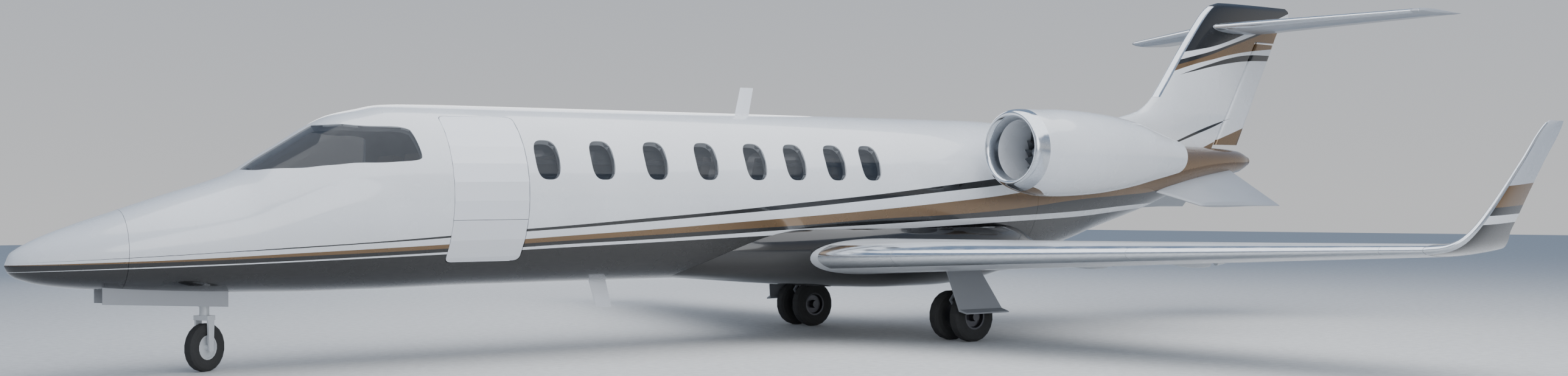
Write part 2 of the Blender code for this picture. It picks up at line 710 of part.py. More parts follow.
def track(y, start, end, depth, width):
    """Half of a canoe fairing that hangs below the flap hinge."""
    le, te, thick = wing_line(y)
    rings = []
    for k in range(5):
        t = k / 4
        x = between(start[0], end[0], t)
        half = between(start[1], end[1], t)
        s = min((x - le.x) / (te.x - le.x), 0.97)
        under = between(le.z, te.z, s) - foil_half(s) * thick * (te - le).length
        rings.append([Vector((x, -y + width * half * c, under + 0.02 - (depth * half + 0.02) * d))
                      for c, d in ((-1, 0), (-0.9, 0.55), (-0.45, 0.95), (0.45, 0.95), (0.9, 0.55), (1, 0))])
    return loft(rings)


def make_wings():
    grey = paint("wing_paint", (0.62, 0.64, 0.68), 0.2, 0.35)
    stations = [WING_ROOT_Y, 1.4, 2.6, 4.0, 5.4, WING_TIP_Y]
    fairing = fairing_shape(SEAT_GAP)
    for name, side in SIDES:
        rings = []
        for y in stations:
            le, te, thick = wing_line(y)
            rings.append(foil_ring(le, te, thick, (0, 0, 1)))
        wing = add("wing_" + name, mirrored(loft(rings), side), grey)
        cut(wing, mirrored(bay_cutter(FLAP), side), mirrored(bay_cutter(AILERON), side), fairing)
        for y in TRACKS:
            hinge = wing_hinge_x(FLAP, y)
            join(wing, mirrored(track(y, (hinge - 0.62, 0.15), (hinge - 0.075, 1.0), 0.075, 0.045), side))

        flap = add("flap_" + name, mirrored(wing_surface(FLAP, 4), side), grey)
        join(flap, *[mirrored(pin, side) for pin in end_pins(FLAP)])
        for y in TRACKS:
            hinge = wing_hinge_x(FLAP, y)
            join(flap, mirrored(track(y, (hinge + 0.03, 1.0), (hinge + 0.56, 0.2), 0.075, 0.045), side))
        aileron = add("aileron_" + name, mirrored(wing_surface(AILERON, 2), side), grey)
        join(aileron, *[mirrored(pin, side) for pin in end_pins(AILERON)])
        for piece, bay in ((flap, FLAP), (aileron, AILERON)):
            point, _ = hinge_point(wing_line, bay[0], bay[2])
            set_pivot(piece, (point.x, point.y * -side, point.z))

        rings = []
        for i, (y, z, le, te, half) in enumerate(WINGLET):
            before, after = WINGLET[max(i - 1, 0)], WINGLET[min(i + 1, len(WINGLET) - 1)]
            run = Vector((0, -(after[0] - before[0]), after[1] - before[1])).normalized()
            up = Vector((0, run.z, -run.y))
            if i == 0:
                up = Vector((0, 0, 1))
                y += SEAT_GAP
            rings.append(foil_ring((le, -y, z), (te, -y, z + WING_WASH * max(0, 1 - i / 3)), half / (te - le) * 1.0, up))
        add("winglet_" + name, mirrored(loft(rings), side), grey)


def fairing_shape(grow):
    """The belly fairing that wraps the wing's root, as one solid."""
    rings = []
    for x, half, keel in FAIRING:
        ring = []
        for k in range(24):
            a = 2 * pi * k / 24
            c, s = cos(a), sin(a)
            y = (half + grow) * (abs(c) ** 0.8) * (1 if c >= 0 else -1)
            z = FAIRING_CENTRE + (FAIRING_CENTRE - keel + grow) * (abs(s) ** 0.8) * (1 if s >= 0 else -1)
            ring.append(Vector((x, y, min(z, 1.24 + grow))))
        rings.append(ring)
    return loft(rings)


def make_fairing():
    fairing = add("belly_fairing", fairing_shape(0.0), paint("belly_paint", BLACK, 0.1, 0.2))
    cut(fairing, whole_skin(SEAT_GAP))


# Tail

def fin_at(z):
    """Leading edge, trailing edge and half thickness of the fin at a height."""
    for low, high in zip(FIN, FIN[1:]):
        if low[0] <= z <= high[0]:
            t = (z - low[0]) / (high[0] - low[0])
            return [between(a, b, t) for a, b in zip(low[1:], high[1:])]
    return list(FIN[-1][1:])


def rudder_hinge_x(z):
    return RUDDER_HINGE[0] + RUDDER_HINGE[1] * (z - RUDDER_Z[0])


def make_fin():
    white = paint("fin_paint", WHITE, 0.1, 0.25)
    rings = []
    for z, le, te, half in FIN:
        rings.append(foil_ring((le, 0, z), (te, 0, z), 2 * half / (te - le), (0, 1, 0)))
    fin = add("fin", loft(rings), white)

    outline = []
    for z in (1.9, RUDDER_Z[1] + RUDDER_GAP):
        _, _, half = fin_at(max(z, FIN[0][0]))
        outline.append((rudder_hinge_x(z) - half * 0.86 - MOVING_GAP, z))
    outline += [(17.9, RUDDER_Z[1] + RUDDER_GAP), (17.9, 1.9)]
    cut(fin, prism(outline, "Y", -0.3, 0.3))
    cut(fin, whole_skin(SEAT_GAP), tailplane_shape(SEAT_GAP))

    rings = []
    for k in range(5):
        z = between(RUDDER_Z[0], RUDDER_Z[1], k / 4)
        le, te, half = fin_at(z)
        rings.append(surface_ring((le, 0, z), (te, 0, z), 2 * half / (te - le), (0, 1, 0),
                                  (rudder_hinge_x(z) - le) / (te - le)))
    rudder = add("rudder", loft(rings), paint("rudder_paint", WHITE, 0.1, 0.25))
    top = RUDDER_Z[1]
    join(rudder, swept_pin((rudder_hinge_x(top - 0.03), 0, top - 0.03),
                           (rudder_hinge_x(top + RUDDER_GAP), 0, top + RUDDER_GAP), (0, 0, 1), 0.008))
    set_pivot(rudder, (rudder_hinge_x(RUDDER_Z[0]), 0, RUDDER_Z[0]))


def tail_line(y):
    t = abs(y) / TAIL_HALF_SPAN
    le = Vector((between(TAIL_ROOT[0], TAIL_TIP[0], t), -y, between(TAIL_ROOT[2], TAIL_TIP[2], t)))
    te = Vector((between(TAIL_ROOT[1], TAIL_TIP[1], t), -y, between(TAIL_ROOT[2] - 0.02, TAIL_TIP[2], t)))
    return le, te, between(TAIL_THICK[0], TAIL_THICK[1], t)


def tailplane_shape(grow):
    rings = []
    for y in (-TAIL_HALF_SPAN, -TAIL_HALF_SPAN + 0.05, -0.001, TAIL_HALF_SPAN - 0.05, TAIL_HALF_SPAN):
        le, te, thick = tail_line(y)
        end = abs(abs(y) - TAIL_HALF_SPAN) < 0.001
        if end:
            le = le + Vector((0.06, 0, 0))
        rings.append(foil_ring(le, te, thick * (0.35 if end else 1.0), (0, 0, 1), grow))
    return loft(rings)


def make_tailplane():
    grey = paint("tail_paint", GREY, 0.3, 0.35)
    tailplane = add("tailplane", tailplane_shape(0.0), grey)
    low, high = ELEVATOR_Y
    for name, side in SIDES:
        outline = []
        rings = []
        for y in (low - SWEPT_GAP, high + SWEPT_GAP):
            le, te, thick = tail_line(y)
            s = 1 - ELEVATOR_CHORD
            radius = foil_half(s) * thick * (te - le).length
            outline.append((between(le.x, te.x, s) - radius - MOVING_GAP, -y))
        outline += [(18.0, -high - SWEPT_GAP), (18.0, -low + SWEPT_GAP)]
        cut(tailplane, mirrored(prism(outline, "Z", 3.6, 4.2), side))
        for k in range(3):
            y = between(low, high, k / 2)
            le, te, thick = tail_line(y)
            rings.append(surface_ring(le, te, thick, (0, 0, 1), 1 - ELEVATOR_CHORD))
        elevator = add("elevator_" + name, mirrored(loft(rings), side), grey)
        for y, way in ((low, -1), (high, 1)):
            ends = []
            for d in (-0.03, SWEPT_GAP):
                le, te, _ = tail_line(y + way * d)
                ends.append(between(le, te, 1 - ELEVATOR_CHORD))
            join(elevator, mirrored(swept_pin(ends[0], ends[1], (0, 1, 0), 0.007), side))
        le, te, _ = tail_line(low)
        point = between(le, te, 1 - ELEVATOR_CHORD)
        set_pivot(elevator, (point.x, point.y * -side, point.z))


def make_ventral_fins():
    grey = paint("ventral_paint", GREY, 0.2, 0.35)
    for name, side in SIDES:
        rings = []
        root = (Vector((VENTRAL_ROOT[0][0], -VENTRAL_ROOT[0][1], VENTRAL_ROOT[0][2])),
                Vector((VENTRAL_ROOT[1][0], -VENTRAL_ROOT[1][1], VENTRAL_ROOT[1][2])))
        tip = (Vector((VENTRAL_TIP[0][0], -VENTRAL_TIP[0][1], VENTRAL_TIP[0][2])),
               Vector((VENTRAL_TIP[1][0], -VENTRAL_TIP[1][1], VENTRAL_TIP[1][2])))
        up = (tip[0] - root[0]).cross(root[1] - root[0]).normalized()
        for t in (0.0, 0.9, 1.0):
            le, te = between(root[0], tip[0], t), between(root[1], tip[1], t)
            rings.append(foil_ring(le, te, VENTRAL_THICK * (0.5 if t == 1.0 else 1.0), up))
        fin = add("ventral_fin_" + name, mirrored(loft(rings), side), grey)
        cut(fin, whole_skin(SEAT_GAP))


# Engines

def nacelle_rings(profile, facets, grow=0.0):
    return [[Vector((x, -ENGINE_Y + (r + grow) * cos(2 * pi * k / facets),
                     ENGINE_Z + smooth(NACELLE_DROOP, x) + (r + grow) * sin(2 * pi * k / facets)))
             for k in range(facets)] for x, r in profile]


def nacelle_ring_solid():
    """The nacelle's wall, a ring that is open through its duct."""
    rings = nacelle_rings(NACELLE_OUTER + NACELLE_INNER, NACELLE_FACETS)
    count = len(rings[0])
    points = [p for ring in rings for p in ring]
    faces = []
    for i in range(len(rings)):
        a, b = i * count, ((i + 1) % len(rings)) * count
        faces += [(a + k, a + (k + 1) % count, b + (k + 1) % count, b + k) for k in range(count)]
    return points, faces


def make_engines():
    white = paint("nacelle_paint", WHITE, 0.1, 0.25)
    dark = paint("engine_metal", (0.10, 0.10, 0.11), 0.8, 0.5)
    steel = paint("fan_titanium", (0.35, 0.36, 0.38), 0.9, 0.35)
    for name, side in SIDES:
        add("nacelle_" + name, mirrored(nacelle_ring_solid(), side), white)
        core = add("engine_core_" + name, mirrored(turned(CORE, (0, -ENGINE_Y, ENGINE_Z), "X", 14), side), dark)
        for k in range(5):
            a = pi / 2 + 2 * pi * k / 5
            out = Vector((0, cos(a), sin(a)))
            start = Vector((11.75, -ENGINE_Y, ENGINE_Z)) + out * 0.20
            end = Vector((11.75, -ENGINE_Y, ENGINE_Z)) + out * duct_radius(11.75, a)
            join(core, mirrored(rod(start, end, 0.018, 6), side))
        fan = add("fan_" + name, mirrored(fan_shape(), side), steel)
        set_pivot(fan, (FAN_STATION[0], ENGINE_Y * side, ENGINE_Z))
        pylon = add("pylon_" + name, mirrored(pylon_shape(), side), white)
        cut(pylon, whole_skin(SEAT_GAP), mirrored(loft(nacelle_rings(NACELLE_OUTER, NACELLE_FACETS, SEAT_GAP)), side))


def duct_radius(x, angle):
    """The duct's radius at a station, to a flat of its facets, less the seat gap."""
    points = sorted(NACELLE_INNER)
    for (x0, r0), (x1, r1) in zip(points, points[1:]):
        if x0 <= x <= x1:
            step = 2 * pi / NACELLE_FACETS
            off = (angle % step) - step / 2
            return between(r0, r1, (x - x0) / (x1 - x0)) * cos(step / 2) / cos(off) - SEAT_GAP - STRUT_RELIEF
    return 0.0


def fan_shape():
    """The fan: a spinner and hub whose every other facet grows out into a twisted blade."""
    facets = 2 * FAN_BLADES
    front, back = FAN_STATION
    profile = ((front - 0.17, 0.0), (front - 0.15, 0.035), (front - 0.08, 0.075), (front, FAN_HUB), (back, FAN_HUB),
               (back + 0.01, 0.05), (11.25 - SEAT_GAP, 0.05), (11.25 - SEAT_GAP, 0.0))
    points, faces = turned(profile, (0, -ENGINE_Y, ENGINE_Z), "X", facets)
    first = 1 + 2 * facets
    kept = []
    middle = Vector((0, -ENGINE_Y, ENGINE_Z))
    for face in faces:
        ring = sorted(face)
        is_hub = len(face) == 4 and all(first <= i < first + 2 * facets for i in ring)
        if not (is_hub and (ring[0] - first) % 2 == 0):
            kept.append(face)
            continue
        centre = sum((Vector(points[i]) for i in face), Vector()) / 4
        out = Vector((0, centre.y - middle.y, centre.z - middle.z)).normalized()
        turn = Matrix.Rotation(radians(48.0), 3, out)
        tip = []
        for i in face:
            local = Vector(points[i]) - centre
            local = Vector((local.x * 1.05, local.y, local.z)) - out * local.dot(out)
            reach = Vector((centre.x, middle.y, middle.z)) + out * FAN_TIP
            tip.append(len(points))
            points.append(reach + turn @ local)
        for k in range(4):
            kept.append((face[k], face[(k + 1) % 4], tip[k]))
            kept.append((face[(k + 1) % 4], tip[(k + 1) % 4], tip[k]))
        kept.append(tuple(tip))
    return points, kept


def pylon_shape():
    """The pylon's section, lofted from inside the fuselage to inside the nacelle."""
    rings = []
    for y, z in ((0.35, 2.02), (1.25, 2.07)):
        rings.append(foil_ring((PYLON[0], -y, z), (PYLON[1], -y, z), 2 * PYLON[2] / (PYLON[1] - PYLON[0]), (0, 0, 1)))
    return loft(rings)


# Landing gear

def tyre_shape(radius, rim, width, centre):
    """A tyre as a closed ring, with a flat facet on the ground."""
    outer = radius / cos(pi / TYRE_FACETS)
    wall = radius - rim
    half = width / 2
    profile = [(-half * 0.80, rim + SEAT_GAP), (-half, rim + wall * 0.45), (-half * 0.92, rim + wall * 0.80),
               (-half * 0.66, outer * 0.985), (-half * 0.36, outer)]
    profile += [(-x, r) for x, r in reversed(profile)]
    return turned(profile, centre, "Y", TYRE_FACETS, closed=True, turn=pi / TYRE_FACETS)


def make_main_gear():
    steel = paint("gear_paint", (0.30, 0.31, 0.33), 0.4, 0.5)
    rubber = paint("tyre_rubber", (0.03, 0.03, 0.03), 0.0, 0.9)
    wheel = paint("wheel_paint", (0.12, 0.12, 0.13), 0.5, 0.5)
    half = MAIN_WIDTH / 2
    for name, side in SIDES:
        centre = Vector((MAIN_X, -MAIN_Y, MAIN_R))
        leg = add("main_leg_" + name, mirrored(rod(centre + Vector((0, 0, 0.20)), centre + Vector((0, 0, 0.75)), 0.062, 12), side), steel)
        join(leg, mirrored(rod(centre + Vector((0, 0, -0.01)), centre + Vector((0, 0, 0.24)), 0.040, 10), side),
             mirrored(rod(centre + Vector((0.001, -0.072, 0.001)), centre + Vector((0.001, 0.072, 0.001)), 0.052, 15), side),
             mirrored(rod(centre + Vector((-0.05, 0, 0.30)), centre + Vector((-0.155, 0, 0.17)), 0.017, 8), side),
             mirrored(rod(centre + Vector((-0.155, 0, 0.185)), centre + Vector((-0.03, 0, 0.02)), 0.017, 8), side))
        cut(leg, mirrored(rod(centre + Vector((0, -0.1, 0)), centre + Vector((0, 0.1, 0)), AXLE + 0.0006, TYRE_FACETS), side))
        cut(leg, mirrored(wing_solid(SEAT_GAP), side))

        hub = []
        for way in (-1, 1):
            rows = [(0.0, 0.0), (0.078, AXLE), (0.078, 0.06), (TWIN - 0.058, 0.06), (TWIN - 0.058, MAIN_RIM),
                    (TWIN + 0.058, MAIN_RIM), (TWIN + 0.055, 0.122), (TWIN + 0.020, 0.110), (TWIN + 0.020, 0.052),
                    (TWIN + 0.078, 0.045), (TWIN + 0.078, 0.0)]
            hub.append([(way * d, r) for d, r in rows[1:]])
        profile = list(reversed(hub[0])) + hub[1]
        wheels = add("main_wheel_" + name, mirrored(turned(profile, centre, "Y", TYRE_FACETS, turn=pi / TYRE_FACETS), side), wheel)
        set_pivot(wheels, (MAIN_X, MAIN_Y * side, MAIN_R))
        for place, way in (("outer", -1), ("inner", 1)):
            spot = centre + Vector((0, way * TWIN, 0))
            tyre = add(f"main_tyre_{name}_{place}", mirrored(tyre_shape(MAIN_R, MAIN_RIM, MAIN_WIDTH, spot), side), rubber)
            set_pivot(tyre, (MAIN_X, MAIN_Y * side, MAIN_R))

        outer = MAIN_Y + TWIN + half
        top, low = (-(outer - 0.035), 0.86), (-(outer + 0.080), 0.345)
        door = add("main_gear_door_" + name, mirrored(door_panel(top, low, 0.014), side), paint("gear_door_" + name, GREY, 0.2, 0.4))
        join(door, mirrored(rod((MAIN_X, top[0] - 0.029, 0.70), (MAIN_X, -MAIN_Y - 0.03, 0.70), 0.012, 8), side))
        cut(door, mirrored(wing_solid(SEAT_GAP), side))
        cut(door, mirrored(rod(centre + Vector((0, 0, 0.2)), centre + Vector((0, 0, 0.75)), 0.062 + SEAT_GAP, 12), side))


def wing_solid(grow):
    rings = []
    for y in (WING_ROOT_Y, 1.4, 2.6):
        le, te, thick = wing_line(y)
        rings.append(foil_ring(le, te, thick, (0, 0, 1), grow))
    return loft(rings)


def door_panel(top, low, thick):
    """The panel that hides the outer wheel, leaning out, with its flared lower lip."""
    lip = (low[0] - 0.09, low[1] - 0.012)
    rings = []
    for x_top, x_low in ((9.31, 9.42), (9.77, 10.03)):
        ring = []
        for d in (0.0, thick):
            line = [Vector((x_top, top[0] + d, top[1])), Vector((x_low, low[0] + d, low[1] + 0.02)),
                    Vector((x_low + 0.02, lip[0], lip[1] + 0.0 if d == 0 else lip[1] - thick))]
            if d:
                line[1] = Vector((x_low, low[0] + d, low[1] - thick * 0.2))
            ring += line if d == 0 else list(reversed(line))
        rings.append(ring)
    count = len(rings[0])
    points = [p for ring in rings for p in ring]
    faces = [(k, (k + 1) % count, count + (k + 1) % count, count + k) for k in range(count)]
    faces += [(0, 1, 4, 5), (1, 2, 3, 4), (6, 11, 10, 7), (7, 10, 9, 8)]
    return points, faces


def make_nose_gear():
    steel = paint("nose_gear_paint", (0.62, 0.64, 0.66), 0.3, 0.5)
    rubber = paint("nose_tyre_rubber", (0.03, 0.03, 0.03), 0.0, 0.9)
    top = GEAR_WELL[3]
    leg = add("nose_leg", rod((NOSE_X, 0, FORK_TOP + SEAT_GAP), (NOSE_X, 0, top - SEAT_GAP), 0.055, 16), steel)
    join(leg, rod((NOSE_X - 0.03, 0, 0.74), (NOSE_X - 0.42, 0, top - 0.02), 0.022, 10))

    arm = NOSE_WIDTH / 2 + 0.012
    fork = add("nose_fork", rod((NOSE_X, 0, 0.515), (NOSE_X, 0, FORK_TOP), 0.045, 16), steel)
    join(fork, block((NOSE_X - 0.05, NOSE_X + 0.05), (-arm - 0.02, arm + 0.02), (0.475, 0.520)))
    for way in (-1, 1):
        low, high = sorted((way * arm, way * (arm + 0.020)))
        outline = ((NOSE_X - 0.04, 0.50), (NOSE_X + 0.04, 0.50), (NOSE_X + 0.028, NOSE_R - 0.035),
                   (NOSE_X - 0.028, NOSE_R - 0.035))
        join(fork, prism(outline, "Y", low, high))
    wheel = add("nose_wheel", turned(
        ((-arm + SEAT_GAP, 0.0), (-arm + SEAT_GAP, 0.024), (-0.030, 0.030), (-0.024, 0.095), (-0.044, 0.103), (-0.044, NOSE_RIM),
         (0.044, NOSE_RIM), (0.044, 0.103), (0.024, 0.095), (0.030, 0.030), (arm - SEAT_GAP, 0.024), (arm - SEAT_GAP, 0.0)),
        (NOSE_X, 0, NOSE_R), "Y", TYRE_FACETS, turn=pi / TYRE_FACETS), steel)
    tyre = add("nose_tyre", tyre_shape(NOSE_R, NOSE_RIM, NOSE_WIDTH, (NOSE_X, 0, NOSE_R)), rubber)
    for piece in (fork, wheel, tyre):
        turn_piece(piece, (NOSE_X, 0, 0), "Z", NOSE_STEER)
        set_pivot(piece, (NOSE_X, 0, NOSE_R if piece is not fork else FORK_TOP))

    grey = paint("nose_door_paint", (0.10, 0.10, 0.11), 0.1, 0.4)
    x0, x1, half, _ = GEAR_WELL
    for name, side in SIDES:
        outline = ((x0, 0.66), (x1 - 0.02, 0.60), (x1 - 0.02, 0.86), (x0, 0.90))
        door = add("nose_gear_door_" + name, mirrored(prism(outline, "Y", -half - 0.022, -half - 0.010), side), grey)
        cut(door, whole_skin(SEAT_GAP))


# Aerials

def make_aerials():
    white = paint("aerial_paint", WHITE, 0.0, 0.4)
    top = add("aerial_top", blade((7.68, 7.87, 2.45), (7.775, 7.95, 2.826), 0.012), white)
    bottom = add("aerial_bottom", blade((5.79, 6.00, 0.80), (5.90, 6.09, 0.437), 0.012), white)
    for piece in (top, bottom):
        cut(piece, whole_skin(SEAT_GAP))


def blade(base, tip, half):
    """A swept blade aerial from (forward, aft, height) at each end."""
    rings = []
    for forward, aft, z in (base, tip):
        rings.append(foil_ring((forward, 0, z), (aft, 0, z), 2 * half / (aft - forward), (0, 1, 0)))
    return loft(rings)


def main():
    for old in list(bpy.data.objects):
        bpy.data.objects.remove(old)
    make_fuselage()
    make_glass()
    make_doors()
    make_interior()
    make_fairing()
    make_wings()
    make_fin()
    make_tailplane()
    make_ventral_fins()
    make_engines()
    make_main_gear()
    make_nose_gear()
    make_aerials()
    for piece in bpy.data.objects:
        piece.data.shade_smooth()
        piece.data.set_sharp_from_angle(angle=radians(35))


main()
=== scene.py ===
"""Looks of a light twin-engined business jet, parked on its wheels.

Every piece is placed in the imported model's own frame, in metres: +X runs aft, +Y
to starboard and +Z up. Lengths along the aircraft are stations, measured aft from
the nose tip, and MIDDLE takes a station into the frame.
"""

import logging
from contextlib import contextmanager
from dataclasses import dataclass, field
from enum import Enum
from math import acos, asin, atan2, cos, degrees, hypot, pi, radians, sin, sqrt
from typing import Callable, Iterator, Sequence

import bpy
import numpy as np
from mathutils import Matrix, Vector
from mathutils.geometry import delaunay_2d_cdt


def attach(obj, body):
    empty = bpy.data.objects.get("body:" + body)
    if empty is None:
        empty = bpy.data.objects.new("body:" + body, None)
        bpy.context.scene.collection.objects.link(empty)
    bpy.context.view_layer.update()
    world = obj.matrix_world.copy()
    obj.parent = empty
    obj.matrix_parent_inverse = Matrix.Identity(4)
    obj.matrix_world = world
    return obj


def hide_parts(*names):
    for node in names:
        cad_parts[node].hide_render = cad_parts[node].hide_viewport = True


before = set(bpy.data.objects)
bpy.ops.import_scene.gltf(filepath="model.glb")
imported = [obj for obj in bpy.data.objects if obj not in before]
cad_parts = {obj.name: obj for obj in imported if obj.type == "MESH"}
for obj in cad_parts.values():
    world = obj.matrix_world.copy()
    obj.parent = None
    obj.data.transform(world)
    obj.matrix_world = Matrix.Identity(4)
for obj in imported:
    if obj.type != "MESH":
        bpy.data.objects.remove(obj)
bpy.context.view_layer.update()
LOG = logging.getLogger("business_jet")

MIDDLE = 8.783
SKIN_ARC = radians(1.0) * 0.89

Pair = tuple[float, float]
Spot = Callable[[float, float], Vector]


class Side(Enum):
    """A side of the aircraft, and the sign of Y there."""

    PORT = -1
    STARBOARD = 1

    @property
    def label(self) -> str:
        """The side's name, as the nodes spell it."""
        return self.name.lower()


# Lines and outlines


def place(x: float, y: float, z: float) -> Vector:
    """Takes a station, a width and a height into the model's frame."""
    return Vector((x - MIDDLE, y, z))


def between(a: float, b: float, t: float) -> float:
    """Reads the straight line from a to b; also works on vectors."""
    return a + (b - a) * t


def smooth(points: Sequence[Pair], at: float) -> float:
    """Reads the smooth curve through (station, value) points.

    Args:
        points: the curve's points, in order.
        at: where to read it.

    Returns:
        The value, with the end values kept past the ends.
    """
    if at <= points[0][0]:
        return points[0][1]
    if at >= points[-1][0]:
        return points[-1][1]
    i = 0
    while points[i + 1][0] < at:
        i += 1

    def slope(k: int) -> float:
        """The curve's slope at one of its points."""
        if k in (0, len(points) - 1):
            a, b = (0, 1) if k == 0 else (k - 1, k)
            return (points[b][1] - points[a][1]) / (points[b][0] - points[a][0])
        before = (points[k][1] - points[k - 1][1]) / (points[k][0] - points[k - 1][0])
        after = (points[k + 1][1] - points[k][1]) / (points[k + 1][0] - points[k][0])
        return 2 * before * after / (before + after) if before * after > 0 else 0.0

    (x0, y0), (x1, y1) = points[i], points[i + 1]
    h = x1 - x0
    t = (at - x0) / h
    return (
        y0 * (2 * t ** 3 - 3 * t ** 2 + 1) + h * slope(i) * (t ** 3 - 2 * t ** 2 + t)
        + y1 * (3 * t ** 2 - 2 * t ** 3) + h * slope(i + 1) * (t ** 3 - t ** 2)
    )


def row_at(rows: Sequence[Sequence[float]], at: float) -> list[float]:
    """Reads every column of a table smoothly against its first column."""
    return [smooth([(row[0], row[k]) for row in rows], at) for k in range(1, len(rows[0]))]


def spaced(start: float, end: float, step: float) -> list[float]:
    """Even marks from start to end, no further apart than a step."""
    count = max(1, round((end - start) / step))
    return [between(start, end, k / count) for k in range(count + 1)]


def rounded(outline: Sequence[Pair], passes: int = 3, reach: float = 0.25) -> list[Pair]:
    """Rounds an outline by cutting its corners again and again."""
    points = [Vector(p) for p in outline]
    for _ in range(passes):
        cut = []
        for a, b in zip(points, points[1:] + points[:1]):
            cut += [a.lerp(b, reach), a.lerp(b, 1 - reach)]
        points = cut
    return [tuple(p) for p in points]


def round_box(low: Pair, high: Pair, radius: float, steps: int = 6) -> list[Pair]:
    """A rectangle's outline with round corners."""
    corners = (((high[0], high[1]), 0), ((low[0], high[1]), 90), ((low[0], low[1]), 180), ((high[0], low[1]), 270))
    points = []
    for (x, y), start in corners:
        centre = (x - radius if x == high[0] else x + radius, y - radius if y == high[1] else y + radius)
        for k in range(steps + 1):
            angle = radians(start + 90 * k / steps)
            points.append((centre[0] + radius * cos(angle), centre[1] + radius * sin(angle)))
    return points


def squared_oval(centre: Pair, half: Pair, power: float, count: int) -> list[Pair]:
    """An oval whose sides are flattened by a power over 2."""
    points = []
    for k in range(count):
        c, s = cos(2 * pi * k / count), sin(2 * pi * k / count)
        size = (abs(c) ** power + abs(s) ** power) ** (-1 / power)
        points.append((centre[0] + half[0] * c * size, centre[1] + half[1] * s * size))
    return points


def offset(outline: Sequence[Pair], distance: float, closed: bool = True) -> list[Pair]:
    """Moves each point of an anticlockwise outline outwards, square to its neighbours."""
    moved = []
    count = len(outline)
    for k, (x, y) in enumerate(outline):
        before = outline[k - 1] if closed or k else outline[k]
        after = outline[(k + 1) % count] if closed or k < count - 1 else outline[k]
        run = Vector((after[0] - before[0], after[1] - before[1])).normalized()
        moved.append((x + run.y * distance, y - run.x * distance))
    return moved


def anticlockwise(outline: Sequence[Pair]) -> list[Pair]:
    """The outline, turned round if it runs clockwise."""
    area = sum(a[0] * b[1] - b[0] * a[1] for a, b in zip(outline, list(outline[1:]) + [outline[0]]))
    return list(outline) if area > 0 else list(reversed(outline))


def inside(points: np.ndarray, outline: Sequence[Pair]) -> np.ndarray:
    """Tells which of the points lie inside an outline."""
    found = np.zeros(len(points), bool)
    x, y = points[:, 0], points[:, 1]
    for (x0, y0), (x1, y1) in zip(outline, list(outline[1:]) + [outline[0]]):
        if y0 == y1:
            continue
        crosses = (y0 > y) != (y1 > y)
        found ^= crosses & (x < (x1 - x0) * (y - y0) / (y1 - y0) + x0)
    return found


# Modelling by hand


def fresh(operator: Callable, **settings) -> bpy.types.Object:
    """Adds a primitive on its own, with nothing else selected."""
    bpy.ops.object.select_all(action="DESELECT")
    operator(**settings)
    return bpy.context.object


def pick(piece: bpy.types.Object) -> None:
    """Selects one piece and makes it the active one."""
    bpy.ops.object.select_all(action="DESELECT")
    piece.select_set(True)
    bpy.context.view_layer.objects.active = piece


@contextmanager
def editing(piece: bpy.types.Object) -> Iterator[bpy.types.Object]:
    """Opens a piece in edit mode with all of it selected."""
    pick(piece)
    bpy.ops.object.mode_set(mode="EDIT")
    bpy.ops.mesh.select_all(action="SELECT")
    yield piece
    bpy.ops.object.mode_set(mode="OBJECT")


def seal(piece: bpy.types.Object, caps: bool = True, reach: float = 0.00002) -> bpy.types.Object:
    """Merges a shell's seams and poles, caps its open ends and points its faces out."""
    with editing(piece):
        bpy.ops.mesh.remove_doubles(threshold=reach)
        bpy.ops.mesh.select_all(action="SELECT")
        if caps:
            bpy.ops.mesh.fill_holes(sides=0)
            bpy.ops.mesh.select_all(action="SELECT")
        bpy.ops.mesh.normals_make_consistent(inside=False)
    return piece


def modify(piece: bpy.types.Object, kind: str, **settings) -> bpy.types.Object:
    """Adds a modifier with its settings and applies it."""
    pick(piece)
    modifier = piece.modifiers.new(kind.title(), kind)
    for name, value in settings.items():
        setattr(modifier, name, value)
    bpy.ops.object.modifier_apply(modifier=modifier.name)
    return piece


def soften(piece: bpy.types.Object, width: float, segments: int = 2) -> bpy.types.Object:
    """Rounds a piece's sharp edges, as a casting's or a pressing's are."""
    return modify(piece, "BEVEL", width=width, segments=segments, limit_method="ANGLE", angle_limit=radians(32))


def thicken(piece: bpy.types.Object, depth: float, outward: float = -1.0, **settings) -> bpy.types.Object:
    """Gives a sheet its thickness, inwards unless told otherwise."""
    return modify(piece, "SOLIDIFY", thickness=depth, offset=outward, use_even_offset=False, **settings)


def join_up(pieces: Sequence[bpy.types.Object]) -> bpy.types.Object:
    """Makes one piece of several."""
    bpy.ops.object.select_all(action="DESELECT")
    for piece in pieces:
        piece.select_set(True)
    bpy.context.view_layer.objects.active = pieces[0]
    if len(pieces) > 1:
        bpy.ops.object.join()
    return pieces[0]


def saw(piece: bpy.types.Object, tool: bpy.types.Object) -> bpy.types.Object:
    """Cuts a tool's shape out of a piece and clears the tool away."""
    modify(piece, "BOOLEAN", operation="DIFFERENCE", solver="EXACT", object=tool)
    bpy.data.objects.remove(tool)
    return piece


def across(piece: bpy.types.Object) -> bpy.types.Object:
    """Copies a port piece to starboard, its faces still pointing out."""
    pick(piece)
    bpy.ops.object.duplicate()
    twin = bpy.context.object
    twin.data.transform(Matrix.Scale(-1, 4, (0, 1, 0)))
    twin.data.flip_normals()
    return twin


